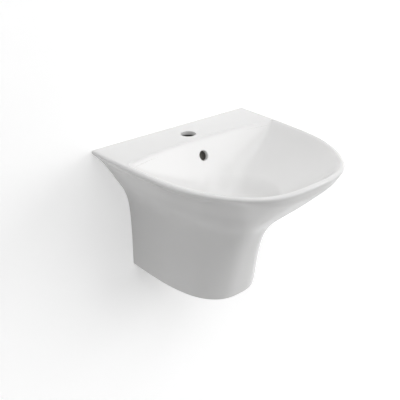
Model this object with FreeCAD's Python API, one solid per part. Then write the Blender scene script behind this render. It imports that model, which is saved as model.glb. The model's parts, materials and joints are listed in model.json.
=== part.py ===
import FreeCAD
import Part
import os
from bisect import bisect
from math import atan2, ceil, cos, hypot, pi, sin, sqrt

from FreeCAD import Vector

# Wall hung basin in one fired piece with its half pedestal, its push-button waste,
# the trap inside the pedestal and the two wall fixings.
# Millimetres. The wall is the plane y = 0 and the basin stands out from it along -Y;
# x = 0 is the plane of symmetry. z = 0 is the line through the two wall fixings.

# ceramic, overall
WIDTH = 450.0
DEPTH = 437.0
HEIGHT_AT_WALL = 319.0
FOOT_WIDTH = 253.0
FOOT_DEPTH = 236.5
FOOT_SLOPE = 0.105
RIM_ABOVE_FIXINGS = 80.0
SKIRT_WALL = 10.0
DECK_THICKNESS = 9.0
LIP_WIDTH = 7.0

# plan outlines, right half, from the wall to the front: shares of half the width and of the depth
RIM_OUTLINE = [(1.0, 0.0), (1.0, 0.207), (0.976, 0.442), (0.941, 0.690), (0.549, 1.0), (0.0, 1.0)]
FOOT_OUTLINE = [(1.0, 0.0), (0.964, 0.366), (0.846, 0.680), (0.613, 0.895), (0.292, 1.0), (0.0, 1.0)]

# how far the skirt has flared from foot (0) to rim (1), at the sides and at the front,
# against the share of the height below the rim
SKIRT_PROFILE = [
    (0.083, 0.779, 0.968),
    (0.165, 0.594, 0.828),
    (0.254, 0.419, 0.681),
    (0.343, 0.216, 0.510),
    (0.444, 0.075, 0.317),
    (0.571, 0.030, 0.174),
    (0.746, 0.005, 0.094),
    (0.905, 0.0, 0.040),
]

# levels of control points that roll the rim over and round the foot off
LIP_LEVELS = [(0.0, 6.5), (0.0, 2.9), (4.6, -1.3), (11.0, 3.4)]  # drop below the rim, inset
FOOT_LEVELS = [(4.0, 0.0), (0.0, 0.5), (0.0, 3.5)]  # height above the foot, inset
# drop under the deck and inset, both in walls, with the side flare between them
ROOF_LEVELS = [(0.0, 1.0, 3.2), (0.0, 1.0, 2.4), (0.5, 0.9, 1.3)]

# bowl
DECK_DEPTH_MIDDLE = 90.0
DECK_DEPTH_SIDES = 115.0
DECK_CORNER_ROUND = 18.0
DECK_EDGE_ROUND = 6.0
BACK_WALL_STEEPNESS = 2.4
BOWL_SLOPE_DEPTH = 105.0
BOWL_WALL_DEPTH = 36.0
BOWL_WALL_POWER = 4
VALLEY_SHARPNESS = 2.5
BOWL_MIDDLE_FROM_WALL = 200.0
SEAT_DEPTH = 134.0
SEAT_PAST_FLANGE = 1.5
SEAT_BLEND = 62.0
BOWL_WALL = 8.0
BOWL_ROWS = [1.0, 0.985, 0.965, 0.94, 0.90, 0.84, 0.76, 0.66, 0.54, 0.41, 0.28, 0.16, 0.07, 0.0]
BOWL_COLUMN_STEP = 13.0
CORNER_STEPS = 12
DECK_STEPS = 60
RIM_STEPS = 240

# holes in the ceramic
TAP_HOLE_DIAMETER = 35.0
TAP_HOLE_FROM_WALL = 56.0
OVERFLOW_DIAMETER = 23.0
OVERFLOW_BELOW_RIM = 37.0
DRAIN_HOLE_CLEARANCE = 4.1  # on the waste tube's diameter
DRAIN_BOSS_WALL = 14.0
DRAIN_BOSS_HEIGHT = 36.0
CHANNEL_WIDTH = 40.0
CHANNEL_TOP_DEPTH = 24.0
CHANNEL_BEND_DEPTH = 84.0
CHANNEL_GAP = 12.0
PANEL_ABOVE_ROSETTE = 17.0
PANEL_THICKNESS = 12.0
FIXING_SPACING = 200.0
FIXING_HOLE_DIAMETER = 16.0
CUT_PAST = 5.0
OVERFLOW_CUT_BEFORE = 12.0

# waste
FLANGE_LAP = 8.5  # past the drain hole's edge
FLANGE_THICKNESS = 3.0
FLANGE_SEAL_THICKNESS = 1.5
FLANGE_SEAL_INSET = 1.0
FLANGE_ROUND = 1.5
FLANGE_THROAT_HEIGHT = 0.5
FLANGE_THROAT_DEPTH = 2.0
FLANGE_MOUTH_SLOPE = 1.7
FLANGE_MOUTH_STEP = 1.2
WASTE_TUBE_DIAMETER = 41.9
WASTE_TUBE_WALL = 2.4
WASTE_TUBE_LENGTH = 76.0
WASTE_SLOT_TOP = 12.0
WASTE_SLOT_HEIGHT = 12.0
WASTE_SLOT_WIDTH = 20.0
BRIDGE_TOP = 32.0
BRIDGE_HEIGHT = 6.0
BRIDGE_RIB = 3.0
BRIDGE_HUB_DIAMETER = 14.0
CONE_WASHER_HEIGHT = 6.0
CONE_WASHER_LAP = 7.0
CONE_WASHER_TAPER = 4.0
SLIP_WASHER_HEIGHT = 1.5
BACKNUT_HEIGHT = 11.0
BACKNUT_WALL = 6.05

# push-button plug, drawn open
CAP_INSET = 0.5  # from the flange's edge
CAP_EDGE = 2.4
CAP_CROWN = 3.0
PLUG_TRAVEL = 9.0
PLUG_CLOSED_GAP = 0.3
CAP_UNDER_EDGE = 0.8
CAP_STEPS = 12
PLUG_SEAL_INSET = 0.5
SPINDLE_DIAMETER = 5.8
SPINDLE_COLLAR_HEIGHT = 2.0
SPINDLE_TAIL_DIAMETER = 3.6
SPINDLE_TAIL_LENGTH = 6.0
CARTRIDGE_DIAMETER = 13.0
CARTRIDGE_HEIGHT = 25.0
CARTRIDGE_BORE = 9.6
CARTRIDGE_END_WALL = 1.0
CARTRIDGE_GUIDE_HEIGHT = 4.0
CARTRIDGE_STUB_DIAMETER = 8.0
CARTRIDGE_STUB_LENGTH = 10.0
SPRING_DIAMETER = 8.6
SPRING_WIRE = 0.8
SPRING_TURNS = 5
RUNNING_CLEARANCE = 0.1

# trap
PIPE_DIAMETER = 32.0
PIPE_WALL = 1.8
TRAP_NUT_CLEARANCE = 2.1607  # to the pedestal's front, by its control rows
SLIP_NUT_WALL = 5.05
UNION_NUT_WALL = 4.0
UNION_SHOULDER = 4.0
NUT_OVERLAP = 14.0
NUT_LUGS = 8
NUT_LUG_SIZE = 5.0
NUT_LUG_INSET = 1.0
NUT_LIP = 3.0
UNION_SOCKET_SHORT = 2.0
PIPE_WASHER_HEIGHT = 2.5
COLLAR_HEIGHT = 2.0
BEND_RADIUS = 36.0
BEND_FRONT_LEG = 26.0
BEND_REAR_LEG = 10.0
ELBOW_RADIUS = 26.0
ELBOW_STRAIGHT = 12.0
OUTLET_PAST_WALL = 45.0
OUTLET_MARK_WIDTH = 1.0
OUTLET_MARK_DEPTH = 0.4
OUTLET_MARK_FROM_WALL = 1.0
CLEANOUT_BORE = 20.0
CLEANOUT_NECK_WALL = 2.5
CLEANOUT_NECK_HEIGHT = 10.0
CLEANOUT_CAP_WALL = 2.5
CLEANOUT_CAP_OVERLAP = 7.0
CLEANOUT_SEAL_HEIGHT = 2.0
CLEANOUT_CAP_ROUND = 1.0
GRIP_INSET = 3.0
GRIP_THICKNESS = 4.0
GRIP_HEIGHT = 5.0
ROSETTE_REACH = 16.0  # past the pipe
ROSETTE_HEIGHT = 10.0
ROSETTE_WALL = 1.2
ROSETTE_WALL_GAP = 0.3
ROSETTE_RIM_HEIGHT = 1.5
ROSETTE_COLLAR_HEIGHT = 2.0
FIT_GAP = 0.3

# wall fixings
BOLT_DIAMETER = 10.0
BOLT_SCREW_DIAMETER = 9.0
BOLT_IN_WALL = 55.0
BOLT_INSIDE = 36.0
BOLT_CLEARANCE = 0.2
BOLT_THREAD_IN_WALL = 6.0
BOLT_TIP_LENGTH = 8.0
BOLT_TIP_RADIUS = 1.5
BOLT_END_CHAMFER = 1.0
WALL_PLUG_DIAMETER = 14.0
WALL_PLUG_LENGTH = 60.0
WALL_PLUG_TAPER_LENGTH = 6.0
WALL_PLUG_TAPER = 1.0
BUSH_CLEARANCE = 0.2
BUSH_FROM_WALL = 1.0
BUSH_FLANGE_DIAMETER = 26.0
BUSH_FLANGE_HEIGHT = 3.0
WASHER_DIAMETER = 24.0
WASHER_HEIGHT = 2.0
NUT_ACROSS_FLATS = 17.0
NUT_HEIGHT = 8.0



def pedestal_front(drop):
    """Distance from the wall of the pedestal's front at a drop below the rim, by its control rows."""
    share = min(drop / HEIGHT_AT_WALL, 1.0)
    rows = [(0.0, 1.0, 1.0)] + SKIRT_PROFILE + [(1.0, 0.0, 0.0)]
    i = next(i for i, row in enumerate(rows) if row[0] >= share and i > 0)
    (high, _, front), (low, _, next_front) = rows[i - 1], rows[i]
    front += (next_front - front) * (share - high) / (low - high)
    return FOOT_DEPTH + (DEPTH - FOOT_DEPTH) * front


# derived sizes and places
TUBE_RADIUS = WASTE_TUBE_DIAMETER / 2
TUBE_BORE = TUBE_RADIUS - WASTE_TUBE_WALL
DRAIN_HOLE_RADIUS = (WASTE_TUBE_DIAMETER + DRAIN_HOLE_CLEARANCE) / 2
DRAIN_BOSS_RADIUS = DRAIN_HOLE_RADIUS + DRAIN_BOSS_WALL
FLANGE_RADIUS = DRAIN_HOLE_RADIUS + FLANGE_LAP
FLANGE_MOUTH = TUBE_BORE + FLANGE_MOUTH_STEP
SEAT_RADIUS = FLANGE_RADIUS + SEAT_PAST_FLANGE
CONE_WASHER_RADIUS = DRAIN_HOLE_RADIUS + CONE_WASHER_LAP
PIPE_RADIUS = PIPE_DIAMETER / 2
PIPE_BORE = PIPE_RADIUS - PIPE_WALL
SLIP_NUT_RADIUS = TUBE_RADIUS + SLIP_NUT_WALL
UNION_RADIUS = PIPE_RADIUS + UNION_SHOULDER
ROSETTE_RADIUS = PIPE_RADIUS + ROSETTE_REACH

RIM_Z = RIM_ABOVE_FIXINGS
BOWL_Y = -BOWL_MIDDLE_FROM_WALL
SEAT_Z = RIM_Z - SEAT_DEPTH
BOSS_Z = SEAT_Z - DRAIN_BOSS_HEIGHT
FLANGE_Z = SEAT_Z + FLANGE_SEAL_THICKNESS
BACKNUT_Z = BOSS_Z - CONE_WASHER_HEIGHT - SLIP_WASHER_HEIGHT - BACKNUT_HEIGHT
TUBE_END_Z = FLANGE_Z - WASTE_TUBE_LENGTH
INLET_NUT_LOW_Z = TUBE_END_Z - PIPE_WASHER_HEIGHT - COLLAR_HEIGHT - NUT_LIP
DRAIN_Y = -(pedestal_front(RIM_Z - INLET_NUT_LOW_Z) - SKIRT_WALL - TRAP_NUT_CLEARANCE
            - SLIP_NUT_RADIUS - NUT_LUG_SIZE / 2)
COLLAR_Z = TUBE_END_Z - PIPE_WASHER_HEIGHT
BEND_Z = COLLAR_Z - BEND_FRONT_LEG
BEND_MIDDLE_Y = DRAIN_Y + BEND_RADIUS
REAR_LEG_Y = DRAIN_Y + 2 * BEND_RADIUS
UNION_Z = BEND_Z + BEND_REAR_LEG
OUTLET_Z = UNION_Z + ELBOW_STRAIGHT + ELBOW_RADIUS
PANEL_LOW_Z = OUTLET_Z + ROSETTE_RADIUS + PANEL_ABOVE_ROSETTE
CLEANOUT_RADIUS = CLEANOUT_BORE / 2 + CLEANOUT_NECK_WALL
CLEANOUT_Z = BEND_Z - BEND_RADIUS - PIPE_RADIUS - CLEANOUT_NECK_HEIGHT

UP = Vector(0, 0, 1)
OUT_OF_WALL = Vector(0, -1, 0)
INTO_WALL = Vector(0, 1, 0)


def over_drain(z):
    return Vector(0, DRAIN_Y, z)


def cylinder(radius, height, base, axis=UP):
    return Part.makeCylinder(radius, height, base, axis)


def ring(outer, inner, height, base, axis=UP):
    return cylinder(outer, height, base, axis).cut(cylinder(inner, height, base, axis))


def turned(profile, base, axis=UP):
    """Solid of revolution: profile is a closed list of (radius, height along the axis)."""
    points = [Vector(r, 0, h) for r, h in profile]
    face = Part.Face(Part.makePolygon(points + points[:1]))
    solid = face.revolve(Vector(0, 0, 0), UP, 360)
    solid.Placement = FreeCAD.Placement(base, FreeCAD.Rotation(UP, axis))
    return solid


def hexagon(across_flats, height, base, axis=UP):
    corner = across_flats / sqrt(3)
    points = [Vector(corner * cos(i * pi / 3), corner * sin(i * pi / 3), 0) for i in range(6)]
    solid = Part.Face(Part.makePolygon(points + points[:1])).extrude(Vector(0, 0, height))
    flat = across_flats / 2
    chamfer = (corner - flat) / 2
    barrel = turned([(0, 0), (flat, 0), (corner, chamfer), (corner, height - chamfer), (flat, height),
                     (0, height)], Vector(0, 0, 0))
    solid = solid.common(barrel)
    solid.Placement = FreeCAD.Placement(base, FreeCAD.Rotation(UP, axis))
    return solid


# ---- ceramic surfaces ----

def mirrored(half):
    """Full outline, right to left, from the right half."""
    return half + [(-x, y) for x, y in half[-2::-1]]


def skirt_level(drop, side, front, inset):
    """Control points of the skirt's outline at one level below the rim."""
    half_width = (FOOT_WIDTH + (WIDTH - FOOT_WIDTH) * side) / 2
    depth = FOOT_DEPTH + (DEPTH - FOOT_DEPTH) * front
    lean = max(drop - DECK_THICKNESS, 0) / (HEIGHT_AT_WALL - DECK_THICKNESS)
    points = []
    for (rim_x, rim_y), (foot_x, foot_y) in zip(mirrored(RIM_OUTLINE), mirrored(FOOT_OUTLINE)):
        x = (foot_x * FOOT_WIDTH + (rim_x * WIDTH - foot_x * FOOT_WIDTH) * side) / 2
        y = foot_y * FOOT_DEPTH + (rim_y * DEPTH - foot_y * FOOT_DEPTH) * front
        x *= 1 - inset / half_width
        y *= -(1 - inset / depth)
        points.append(Vector(x, y, RIM_Z - drop + FOOT_SLOPE * y * lean * lean))
    return points


def skirt_levels(wall):
    """Levels of the outer skin (wall 0), or of the hollow inside it."""
    middle = [(share * HEIGHT_AT_WALL, side, front, wall) for share, side, front in SKIRT_PROFILE]
    if wall == 0:
        top = [(drop, 1, 1, inset) for drop, inset in LIP_LEVELS]
        foot = [(HEIGHT_AT_WALL - above, 0, 0, inset) for above, inset in FOOT_LEVELS]
    else:
        top = [(DECK_THICKNESS + drop * wall, side, 1, inset * wall) for drop, side, inset in ROOF_LEVELS]
        foot = [(HEIGHT_AT_WALL - FOOT_LEVELS[0][0], 0, 0, wall), (HEIGHT_AT_WALL + wall, 0, 0, wall)]
    return [skirt_level(*level) for level in top + middle + foot]


def spans(count):
    """Knots and multiplicities of a clamped cubic with evenly spaced spans."""
    pieces = count - 3
    return [i / pieces for i in range(pieces + 1)], [4] + [1] * (pieces - 1) + [4]


def cubic_face(rows):
    knots_u, mults_u = spans(len(rows))
    knots_v, mults_v = spans(len(rows[0]))
    surface = Part.BSplineSurface()
    surface.buildFromPolesMultsKnots(rows, mults_u, mults_v, knots_u, knots_v, False, False, 3, 3)
    return surface.toShape()


def cubic_curve(points):
    knots, mults = spans(len(points))
    curve = Part.BSplineCurve()
    curve.buildFromPolesMultsKnots(points, mults, knots, False, 3)
    return curve


def deck_edge(x):
    """Distance from the wall at which the deck turns down into the bowl."""
    return DECK_DEPTH_MIDDLE + (DECK_DEPTH_SIDES - DECK_DEPTH_MIDDLE) * (2 * x / WIDTH) ** 2


def inner_rim():
    """The lip's inner edge in plan, right to left."""
    curve = cubic_curve(skirt_level(0, 1, 1, LIP_WIDTH))
    return [curve.value(i / RIM_STEPS) for i in range(RIM_STEPS + 1)]


class Bowl:
    """The bowl's surface as a depth below the rim, in plan co-ordinates."""

    def __init__(self):
        self.rim = inner_rim()
        reach = sorted((atan2(p.y - BOWL_Y, p.x), hypot(p.x, p.y - BOWL_Y)) for p in self.rim)
        low = reach[-1][0] - 2 * pi, reach[-1][1]
        high = reach[0][0] + 2 * pi, reach[0][1]
        self.reach = [low] + reach + [high]

    def side_share(self, x, y):
        """0 at the bowl's middle, 1 at the lip's inner edge."""
        angle = atan2(y - BOWL_Y, x)
        i = min(max(bisect(self.reach, (angle, 0)), 1), len(self.reach) - 1)
        (a0, r0), (a1, r1) = self.reach[i - 1], self.reach[i]
        reach = r0 + (r1 - r0) * (angle - a0) / (a1 - a0)
        return hypot(x, y - BOWL_Y) / reach

    def depth(self, x, y):
        soft = DECK_EDGE_ROUND / WIDTH * 2
        inward = sqrt(max(1 - self.side_share(x, y), 0) ** 2 + soft ** 2) - soft
        side = BOWL_SLOPE_DEPTH * inward + BOWL_WALL_DEPTH * (1 - (1 - inward) ** BOWL_WALL_POWER)
        forward = max(-y - deck_edge(x), 0)
        back = BACK_WALL_STEEPNESS * (sqrt(forward ** 2 + DECK_EDGE_ROUND ** 2) - DECK_EDGE_ROUND)
        if min(side, back) < 1e-6:
            return 0.0
        both = (side ** -VALLEY_SHARPNESS + back ** -VALLEY_SHARPNESS) ** (-1 / VALLEY_SHARPNESS)
        t = min(max((hypot(x, y - DRAIN_Y) - SEAT_RADIUS) / SEAT_BLEND, 0), 1)
        near_seat = 1 - t * t * (3 - 2 * t)
        return both + (SEAT_DEPTH - both) * near_seat

    def mouth(self):
        """Half of the bowl's mouth in plan, from the middle of the deck round to the front."""
        rim = [(p.x, p.y) for p in self.rim[:len(self.rim) // 2 + 1]]
        rim = [(x, y) for x, y in rim if -y > deck_edge(x)]
        corner_x, corner_y = rim[0]
        start_x = corner_x - DECK_CORNER_ROUND
        start = start_x, -deck_edge(start_x)
        rest = [(x, y) for x, y in rim if y < corner_y - DECK_CORNER_ROUND]
        arc = []
        for i in range(1, CORNER_STEPS):
            t = i / CORNER_STEPS
            arc.append(tuple((1 - t) ** 2 * a + 2 * t * (1 - t) * c + t * t * b
                             for a, c, b in zip(start, (corner_x, corner_y), rest[0])))
        along = [start_x * i / DECK_STEPS for i in range(DECK_STEPS + 1)]
        deck = [(x, -deck_edge(x)) for x in along]
        return deck + arc + rest


def evenly(points, step):
    """Points at an even spacing along a line of (x, y), both ends kept."""
    lengths = [0.0]
    for (x0, y0), (x1, y1) in zip(points, points[1:]):
        lengths.append(lengths[-1] + hypot(x1 - x0, y1 - y0))
    count = ceil(lengths[-1] / step)
    result = []
    for i in range(count + 1):
        target = lengths[-1] * i / count
        j = min(max(bisect(lengths, target), 1), len(lengths) - 1)
        t = (target - lengths[j - 1]) / (lengths[j] - lengths[j - 1])
        (x0, y0), (x1, y1) = points[j - 1], points[j]
        result.append((x0 + (x1 - x0) * t, y0 + (y1 - y0) * t))
    return result



def bowl_face(bowl, wall):
    """The bowl's surface from its mouth to the waste's seat, moved out by the wall."""
    half = evenly(bowl.mouth(), BOWL_COLUMN_STEP)
    loop = half + [(-x, y) for x, y in half[-2::-1]]
    rows = []
    for share in BOWL_ROWS:
        row = []
        for x, y in loop:
            radius = hypot(x, y - DRAIN_Y)
            out_x, out_y = x / radius, (y - DRAIN_Y) / radius
            r = SEAT_RADIUS + (radius - SEAT_RADIUS) * share
            px, py = out_x * r, DRAIN_Y + out_y * r
            depth = 0.0 if share == 1 else bowl.depth(px, py)
            row.append(Vector(px + out_x * wall, py + out_y * wall, RIM_Z - depth - wall))
        rows.append(row)
    return cubic_face(rows)


def edge_at(face, test):
    """The face's boundary edge whose points all pass the test."""
    for edge in face.Edges:
        if all(test(edge.valueAt(edge.FirstParameter + (edge.LastParameter - edge.FirstParameter) * t))
               for t in (0.0, 0.21, 0.5, 0.83, 1.0)):
            return edge
    raise ValueError("no such edge")


def closed_solid(faces):
    shell = Part.Shell(faces)
    shell.sewShape()
    return Part.Solid(Part.Shell(shell.Faces))


def skin_solid(wall, hole=None, plug_faces=()):
    """The skirt's volume: the skin closed by top, bottom and back planes."""
    rows = skirt_levels(wall)
    skin = cubic_face(rows)
    top_z, foot = rows[0][0].z, rows[-1]
    top = edge_at(skin, lambda p: abs(p.z - top_z) < 1e-4)
    bottom = edge_at(skin, lambda p: p.z < foot[0].z + 1e-4)
    right = edge_at(skin, lambda p: abs(p.y) < 1e-4 and p.x > 0)
    left = edge_at(skin, lambda p: abs(p.y) < 1e-4 and p.x < 0)
    top_back = Part.makeLine(rows[0][0], rows[0][-1])
    bottom_back = Part.makeLine(foot[0], foot[-1])
    top_wires = [Part.Wire([top, top_back])] + ([Part.Wire([hole])] if hole else [])
    top_face = Part.Face(top_wires)
    if hole:
        top_face.validate()
    bottom_face = Part.Face(Part.Wire([bottom, bottom_back]))
    back_face = Part.Face(Part.Wire(Part.__sortEdges__([top_back, right, bottom_back, left])))
    return closed_solid([skin, top_face, bottom_face, back_face] + list(plug_faces)), back_face


def bowl_boss_solid(bowl):
    """The bowl with its wall, closed on top: what the hollow leaves standing."""
    face = bowl_face(bowl, BOWL_WALL)
    top = edge_at(face, lambda p: p.z > RIM_Z - BOWL_WALL - 1e-3)
    bottom = edge_at(face, lambda p: p.z < SEAT_Z - BOWL_WALL + 1e-3)
    return closed_solid([face, Part.Face(Part.Wire([top])), Part.Face(Part.Wire([bottom]))])


def behind_back_wall(behind):
    """Points (y, z) at x = 0 that lie behind the bowl's back wall and under its floor."""
    lean = hypot(1, BACK_WALL_STEEPNESS)
    points = []
    for depth in (CHANNEL_TOP_DEPTH, CHANNEL_BEND_DEPTH):
        forward = sqrt((depth / BACK_WALL_STEEPNESS + DECK_EDGE_ROUND) ** 2 - DECK_EDGE_ROUND ** 2)
        y = -DECK_DEPTH_MIDDLE - forward + behind * BACK_WALL_STEEPNESS / lean
        points.append((y, RIM_Z - depth - behind / lean))
    return points + [(DRAIN_Y + SEAT_RADIUS + 1.5 * BOWL_WALL, SEAT_Z - behind), (DRAIN_Y, SEAT_Z - behind)]


def channel_block(near, far, half_width):
    """A block between two depths behind the bowl, from under the deck to the drain."""
    outline = behind_back_wall(far) + behind_back_wall(near)[::-1]
    points = [Vector(-half_width, y, z) for y, z in outline]
    return Part.Face(Part.makePolygon(points + points[:1])).extrude(Vector(2 * half_width, 0, 0))


def overflow_hole():
    """Round hole through the bowl's back wall into the channel behind it."""
    lean = hypot(1, BACK_WALL_STEEPNESS)
    axis = Vector(0, BACK_WALL_STEEPNESS / lean, -1 / lean)
    run = sqrt((OVERFLOW_BELOW_RIM / BACK_WALL_STEEPNESS + DECK_EDGE_ROUND) ** 2 - DECK_EDGE_ROUND ** 2)
    centre = Vector(0, -DECK_DEPTH_MIDDLE - run, RIM_Z - OVERFLOW_BELOW_RIM)
    length = OVERFLOW_CUT_BEFORE + BOWL_WALL + CHANNEL_GAP / 2
    return cylinder(OVERFLOW_DIAMETER / 2, length, centre - axis * OVERFLOW_CUT_BEFORE, axis)


def fixing_points():
    return [Vector(side * FIXING_SPACING / 2, 0, 0) for side in (-1, 1)]


def basin_body():
    bowl = Bowl()
    inside = bowl_face(bowl, 0)
    mouth = edge_at(inside, lambda p: abs(p.z - RIM_Z) < 1e-4)
    seat = edge_at(inside, lambda p: p.z < SEAT_Z + 1e-3)
    body, _ = skin_solid(0, hole=mouth, plug_faces=[inside, Part.Face(Part.Wire([seat]))])

    hollow, back_face = skin_solid(SKIRT_WALL)
    hollow = hollow.fuse(back_face.extrude(Vector(0, SKIRT_WALL, 0)))
    panel = Part.makeBox(WIDTH, PANEL_THICKNESS + SKIRT_WALL, RIM_Z - PANEL_LOW_Z,
                         Vector(-WIDTH / 2, -PANEL_THICKNESS, PANEL_LOW_Z))
    hollow = hollow.cut(panel)
    hollow = hollow.cut(bowl_boss_solid(bowl))
    boss = cylinder(DRAIN_BOSS_RADIUS, DRAIN_BOSS_HEIGHT, Vector(0, DRAIN_Y, BOSS_Z))
    cover = channel_block(BOWL_WALL / 2, 2 * BOWL_WALL + CHANNEL_GAP, CHANNEL_WIDTH / 2 + BOWL_WALL)
    hollow = hollow.cut(boss).cut(cover)
    body = body.cut(hollow)

    channel = channel_block(BOWL_WALL, BOWL_WALL + CHANNEL_GAP, CHANNEL_WIDTH / 2)
    drain_hole = cylinder(DRAIN_HOLE_RADIUS, DRAIN_BOSS_HEIGHT + 2 * CUT_PAST,
                          over_drain(BOSS_Z - CUT_PAST))
    tap_hole = cylinder(TAP_HOLE_DIAMETER / 2, DECK_THICKNESS + 2 * CUT_PAST,
                        Vector(0, -TAP_HOLE_FROM_WALL, RIM_Z - DECK_THICKNESS - CUT_PAST))
    body = body.cut(channel).cut(drain_hole).cut(overflow_hole()).cut(tap_hole)
    for point in fixing_points():
        body = body.cut(cylinder(FIXING_HOLE_DIAMETER / 2, PANEL_THICKNESS + 2 * CUT_PAST,
                                 point + INTO_WALL * CUT_PAST, OUT_OF_WALL))
    return body


# ---- waste ----

def waste_body():
    slope_end = FLANGE_MOUTH + (FLANGE_THICKNESS - FLANGE_THROAT_HEIGHT) * FLANGE_MOUTH_SLOPE
    flange = FLANGE_RADIUS
    profile = [(TUBE_BORE, -WASTE_TUBE_LENGTH), (TUBE_RADIUS, -WASTE_TUBE_LENGTH), (TUBE_RADIUS, 0),
               (flange, 0), (flange, FLANGE_THICKNESS - FLANGE_ROUND),
               (flange - FLANGE_ROUND, FLANGE_THICKNESS), (slope_end, FLANGE_THICKNESS),
               (FLANGE_MOUTH, FLANGE_THROAT_HEIGHT), (TUBE_BORE, -FLANGE_THROAT_DEPTH)]
    body = turned(profile, over_drain(FLANGE_Z))
    slot = Part.makeBox(WASTE_SLOT_WIDTH, 2 * TUBE_RADIUS + 2, WASTE_SLOT_HEIGHT,
                        Vector(-WASTE_SLOT_WIDTH / 2, DRAIN_Y - TUBE_RADIUS - 1,
                               FLANGE_Z - WASTE_SLOT_TOP - WASTE_SLOT_HEIGHT))
    body = body.cut(slot)
    bridge_z = FLANGE_Z - BRIDGE_TOP - BRIDGE_HEIGHT
    bridge = cylinder(BRIDGE_HUB_DIAMETER / 2, BRIDGE_HEIGHT, over_drain(bridge_z))
    for i in range(3):
        rib = Part.makeBox(TUBE_BORE + WASTE_TUBE_WALL / 2, BRIDGE_RIB, BRIDGE_HEIGHT,
                           Vector(0, DRAIN_Y - BRIDGE_RIB / 2, bridge_z))
        rib.rotate(over_drain(0), UP, 90 + 120 * i)
        bridge = bridge.fuse(rib)
    hole = cylinder(CARTRIDGE_STUB_DIAMETER / 2, BRIDGE_HEIGHT, over_drain(bridge_z))
    return body.fuse(bridge.cut(hole)).removeSplitter()


def flange_seal():
    return ring(FLANGE_RADIUS - FLANGE_SEAL_INSET, DRAIN_HOLE_RADIUS - FLANGE_SEAL_INSET,
                FLANGE_SEAL_THICKNESS, over_drain(SEAT_Z))


def cone_washer():
    inner, outer = TUBE_RADIUS + FIT_GAP / 3, CONE_WASHER_RADIUS
    profile = [(inner, 0), (outer, 0), (outer, CONE_WASHER_HEIGHT / 2),
               (outer - CONE_WASHER_TAPER, CONE_WASHER_HEIGHT), (inner, CONE_WASHER_HEIGHT)]
    return turned(profile, over_drain(BOSS_Z - CONE_WASHER_HEIGHT))


def slip_washer():
    return ring(CONE_WASHER_RADIUS, TUBE_RADIUS + FIT_GAP, SLIP_WASHER_HEIGHT,
                over_drain(BACKNUT_Z + BACKNUT_HEIGHT))


def waste_backnut():
    nut = hexagon(WASTE_TUBE_DIAMETER + 2 * BACKNUT_WALL, BACKNUT_HEIGHT, over_drain(BACKNUT_Z))
    return nut.cut(cylinder(TUBE_RADIUS + FIT_GAP / 3, BACKNUT_HEIGHT, over_drain(BACKNUT_Z)))


# ---- plug ----

CAP_Z = FLANGE_Z + FLANGE_THICKNESS + PLUG_CLOSED_GAP + PLUG_TRAVEL
CARTRIDGE_Z = FLANGE_Z - BRIDGE_TOP
GUIDE_Z = CARTRIDGE_Z + CARTRIDGE_HEIGHT - CARTRIDGE_GUIDE_HEIGHT
PISTON_Z = GUIDE_Z - FIT_GAP - SPINDLE_COLLAR_HEIGHT


def plug_cap():
    radius = FLANGE_RADIUS - CAP_INSET
    under = [(0, 0), (radius - CAP_UNDER_EDGE, 0), (radius, CAP_UNDER_EDGE)]
    angles = [i * pi / 2 / CAP_STEPS for i in range(CAP_STEPS)]
    crown = [(radius * cos(a), CAP_EDGE + CAP_CROWN * sin(a)) for a in angles]
    return turned(under + crown + [(0, CAP_EDGE + CAP_CROWN)], over_drain(CAP_Z))


def plug_seal():
    height = FLANGE_THICKNESS + PLUG_CLOSED_GAP - PLUG_SEAL_INSET
    low = FLANGE_MOUTH - PLUG_CLOSED_GAP - RUNNING_CLEARANCE
    high = low + height * FLANGE_MOUTH_SLOPE
    inner = SPINDLE_DIAMETER / 2 + RUNNING_CLEARANCE
    return turned([(inner, 0), (low, 0), (high, height), (inner, height)], over_drain(CAP_Z - height))


def plug_spindle():
    top, foot = CAP_Z - PISTON_Z, -SPINDLE_TAIL_LENGTH
    rod, tail = SPINDLE_DIAMETER / 2, SPINDLE_TAIL_DIAMETER / 2
    collar = CARTRIDGE_BORE / 2 - RUNNING_CLEARANCE
    profile = [(0, foot), (tail, foot), (tail, 0), (collar, 0), (collar, SPINDLE_COLLAR_HEIGHT),
               (rod, SPINDLE_COLLAR_HEIGHT), (rod, top), (0, top)]
    return turned(profile, over_drain(PISTON_Z))


def plug_cartridge():
    outer, bore = CARTRIDGE_DIAMETER / 2, CARTRIDGE_BORE / 2
    guide = SPINDLE_DIAMETER / 2 + RUNNING_CLEARANCE
    stub = CARTRIDGE_STUB_DIAMETER / 2 - RUNNING_CLEARANCE
    profile = [(0, -CARTRIDGE_STUB_LENGTH), (stub, -CARTRIDGE_STUB_LENGTH), (stub, 0), (outer, 0),
               (outer, CARTRIDGE_HEIGHT), (guide, CARTRIDGE_HEIGHT),
               (guide, CARTRIDGE_HEIGHT - CARTRIDGE_GUIDE_HEIGHT),
               (bore, CARTRIDGE_HEIGHT - CARTRIDGE_GUIDE_HEIGHT), (bore, CARTRIDGE_END_WALL),
               (0, CARTRIDGE_END_WALL)]
    return turned(profile, over_drain(CARTRIDGE_Z))


def plug_spring():
    end = SPRING_WIRE / 2 + RUNNING_CLEARANCE
    low = CARTRIDGE_Z + CARTRIDGE_END_WALL + end
    height = PISTON_Z - low - end
    radius = (SPRING_DIAMETER - SPRING_WIRE) / 2
    helix = Part.makeHelix(height / SPRING_TURNS, height, radius)
    section = Part.Wire([Part.makeCircle(SPRING_WIRE / 2, Vector(radius, 0, 0), Vector(0, 1, 0))])
    coil = Part.Wire(helix).makePipeShell([section], True, True)
    coil.translate(over_drain(low))
    return coil


# ---- trap ----

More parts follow.
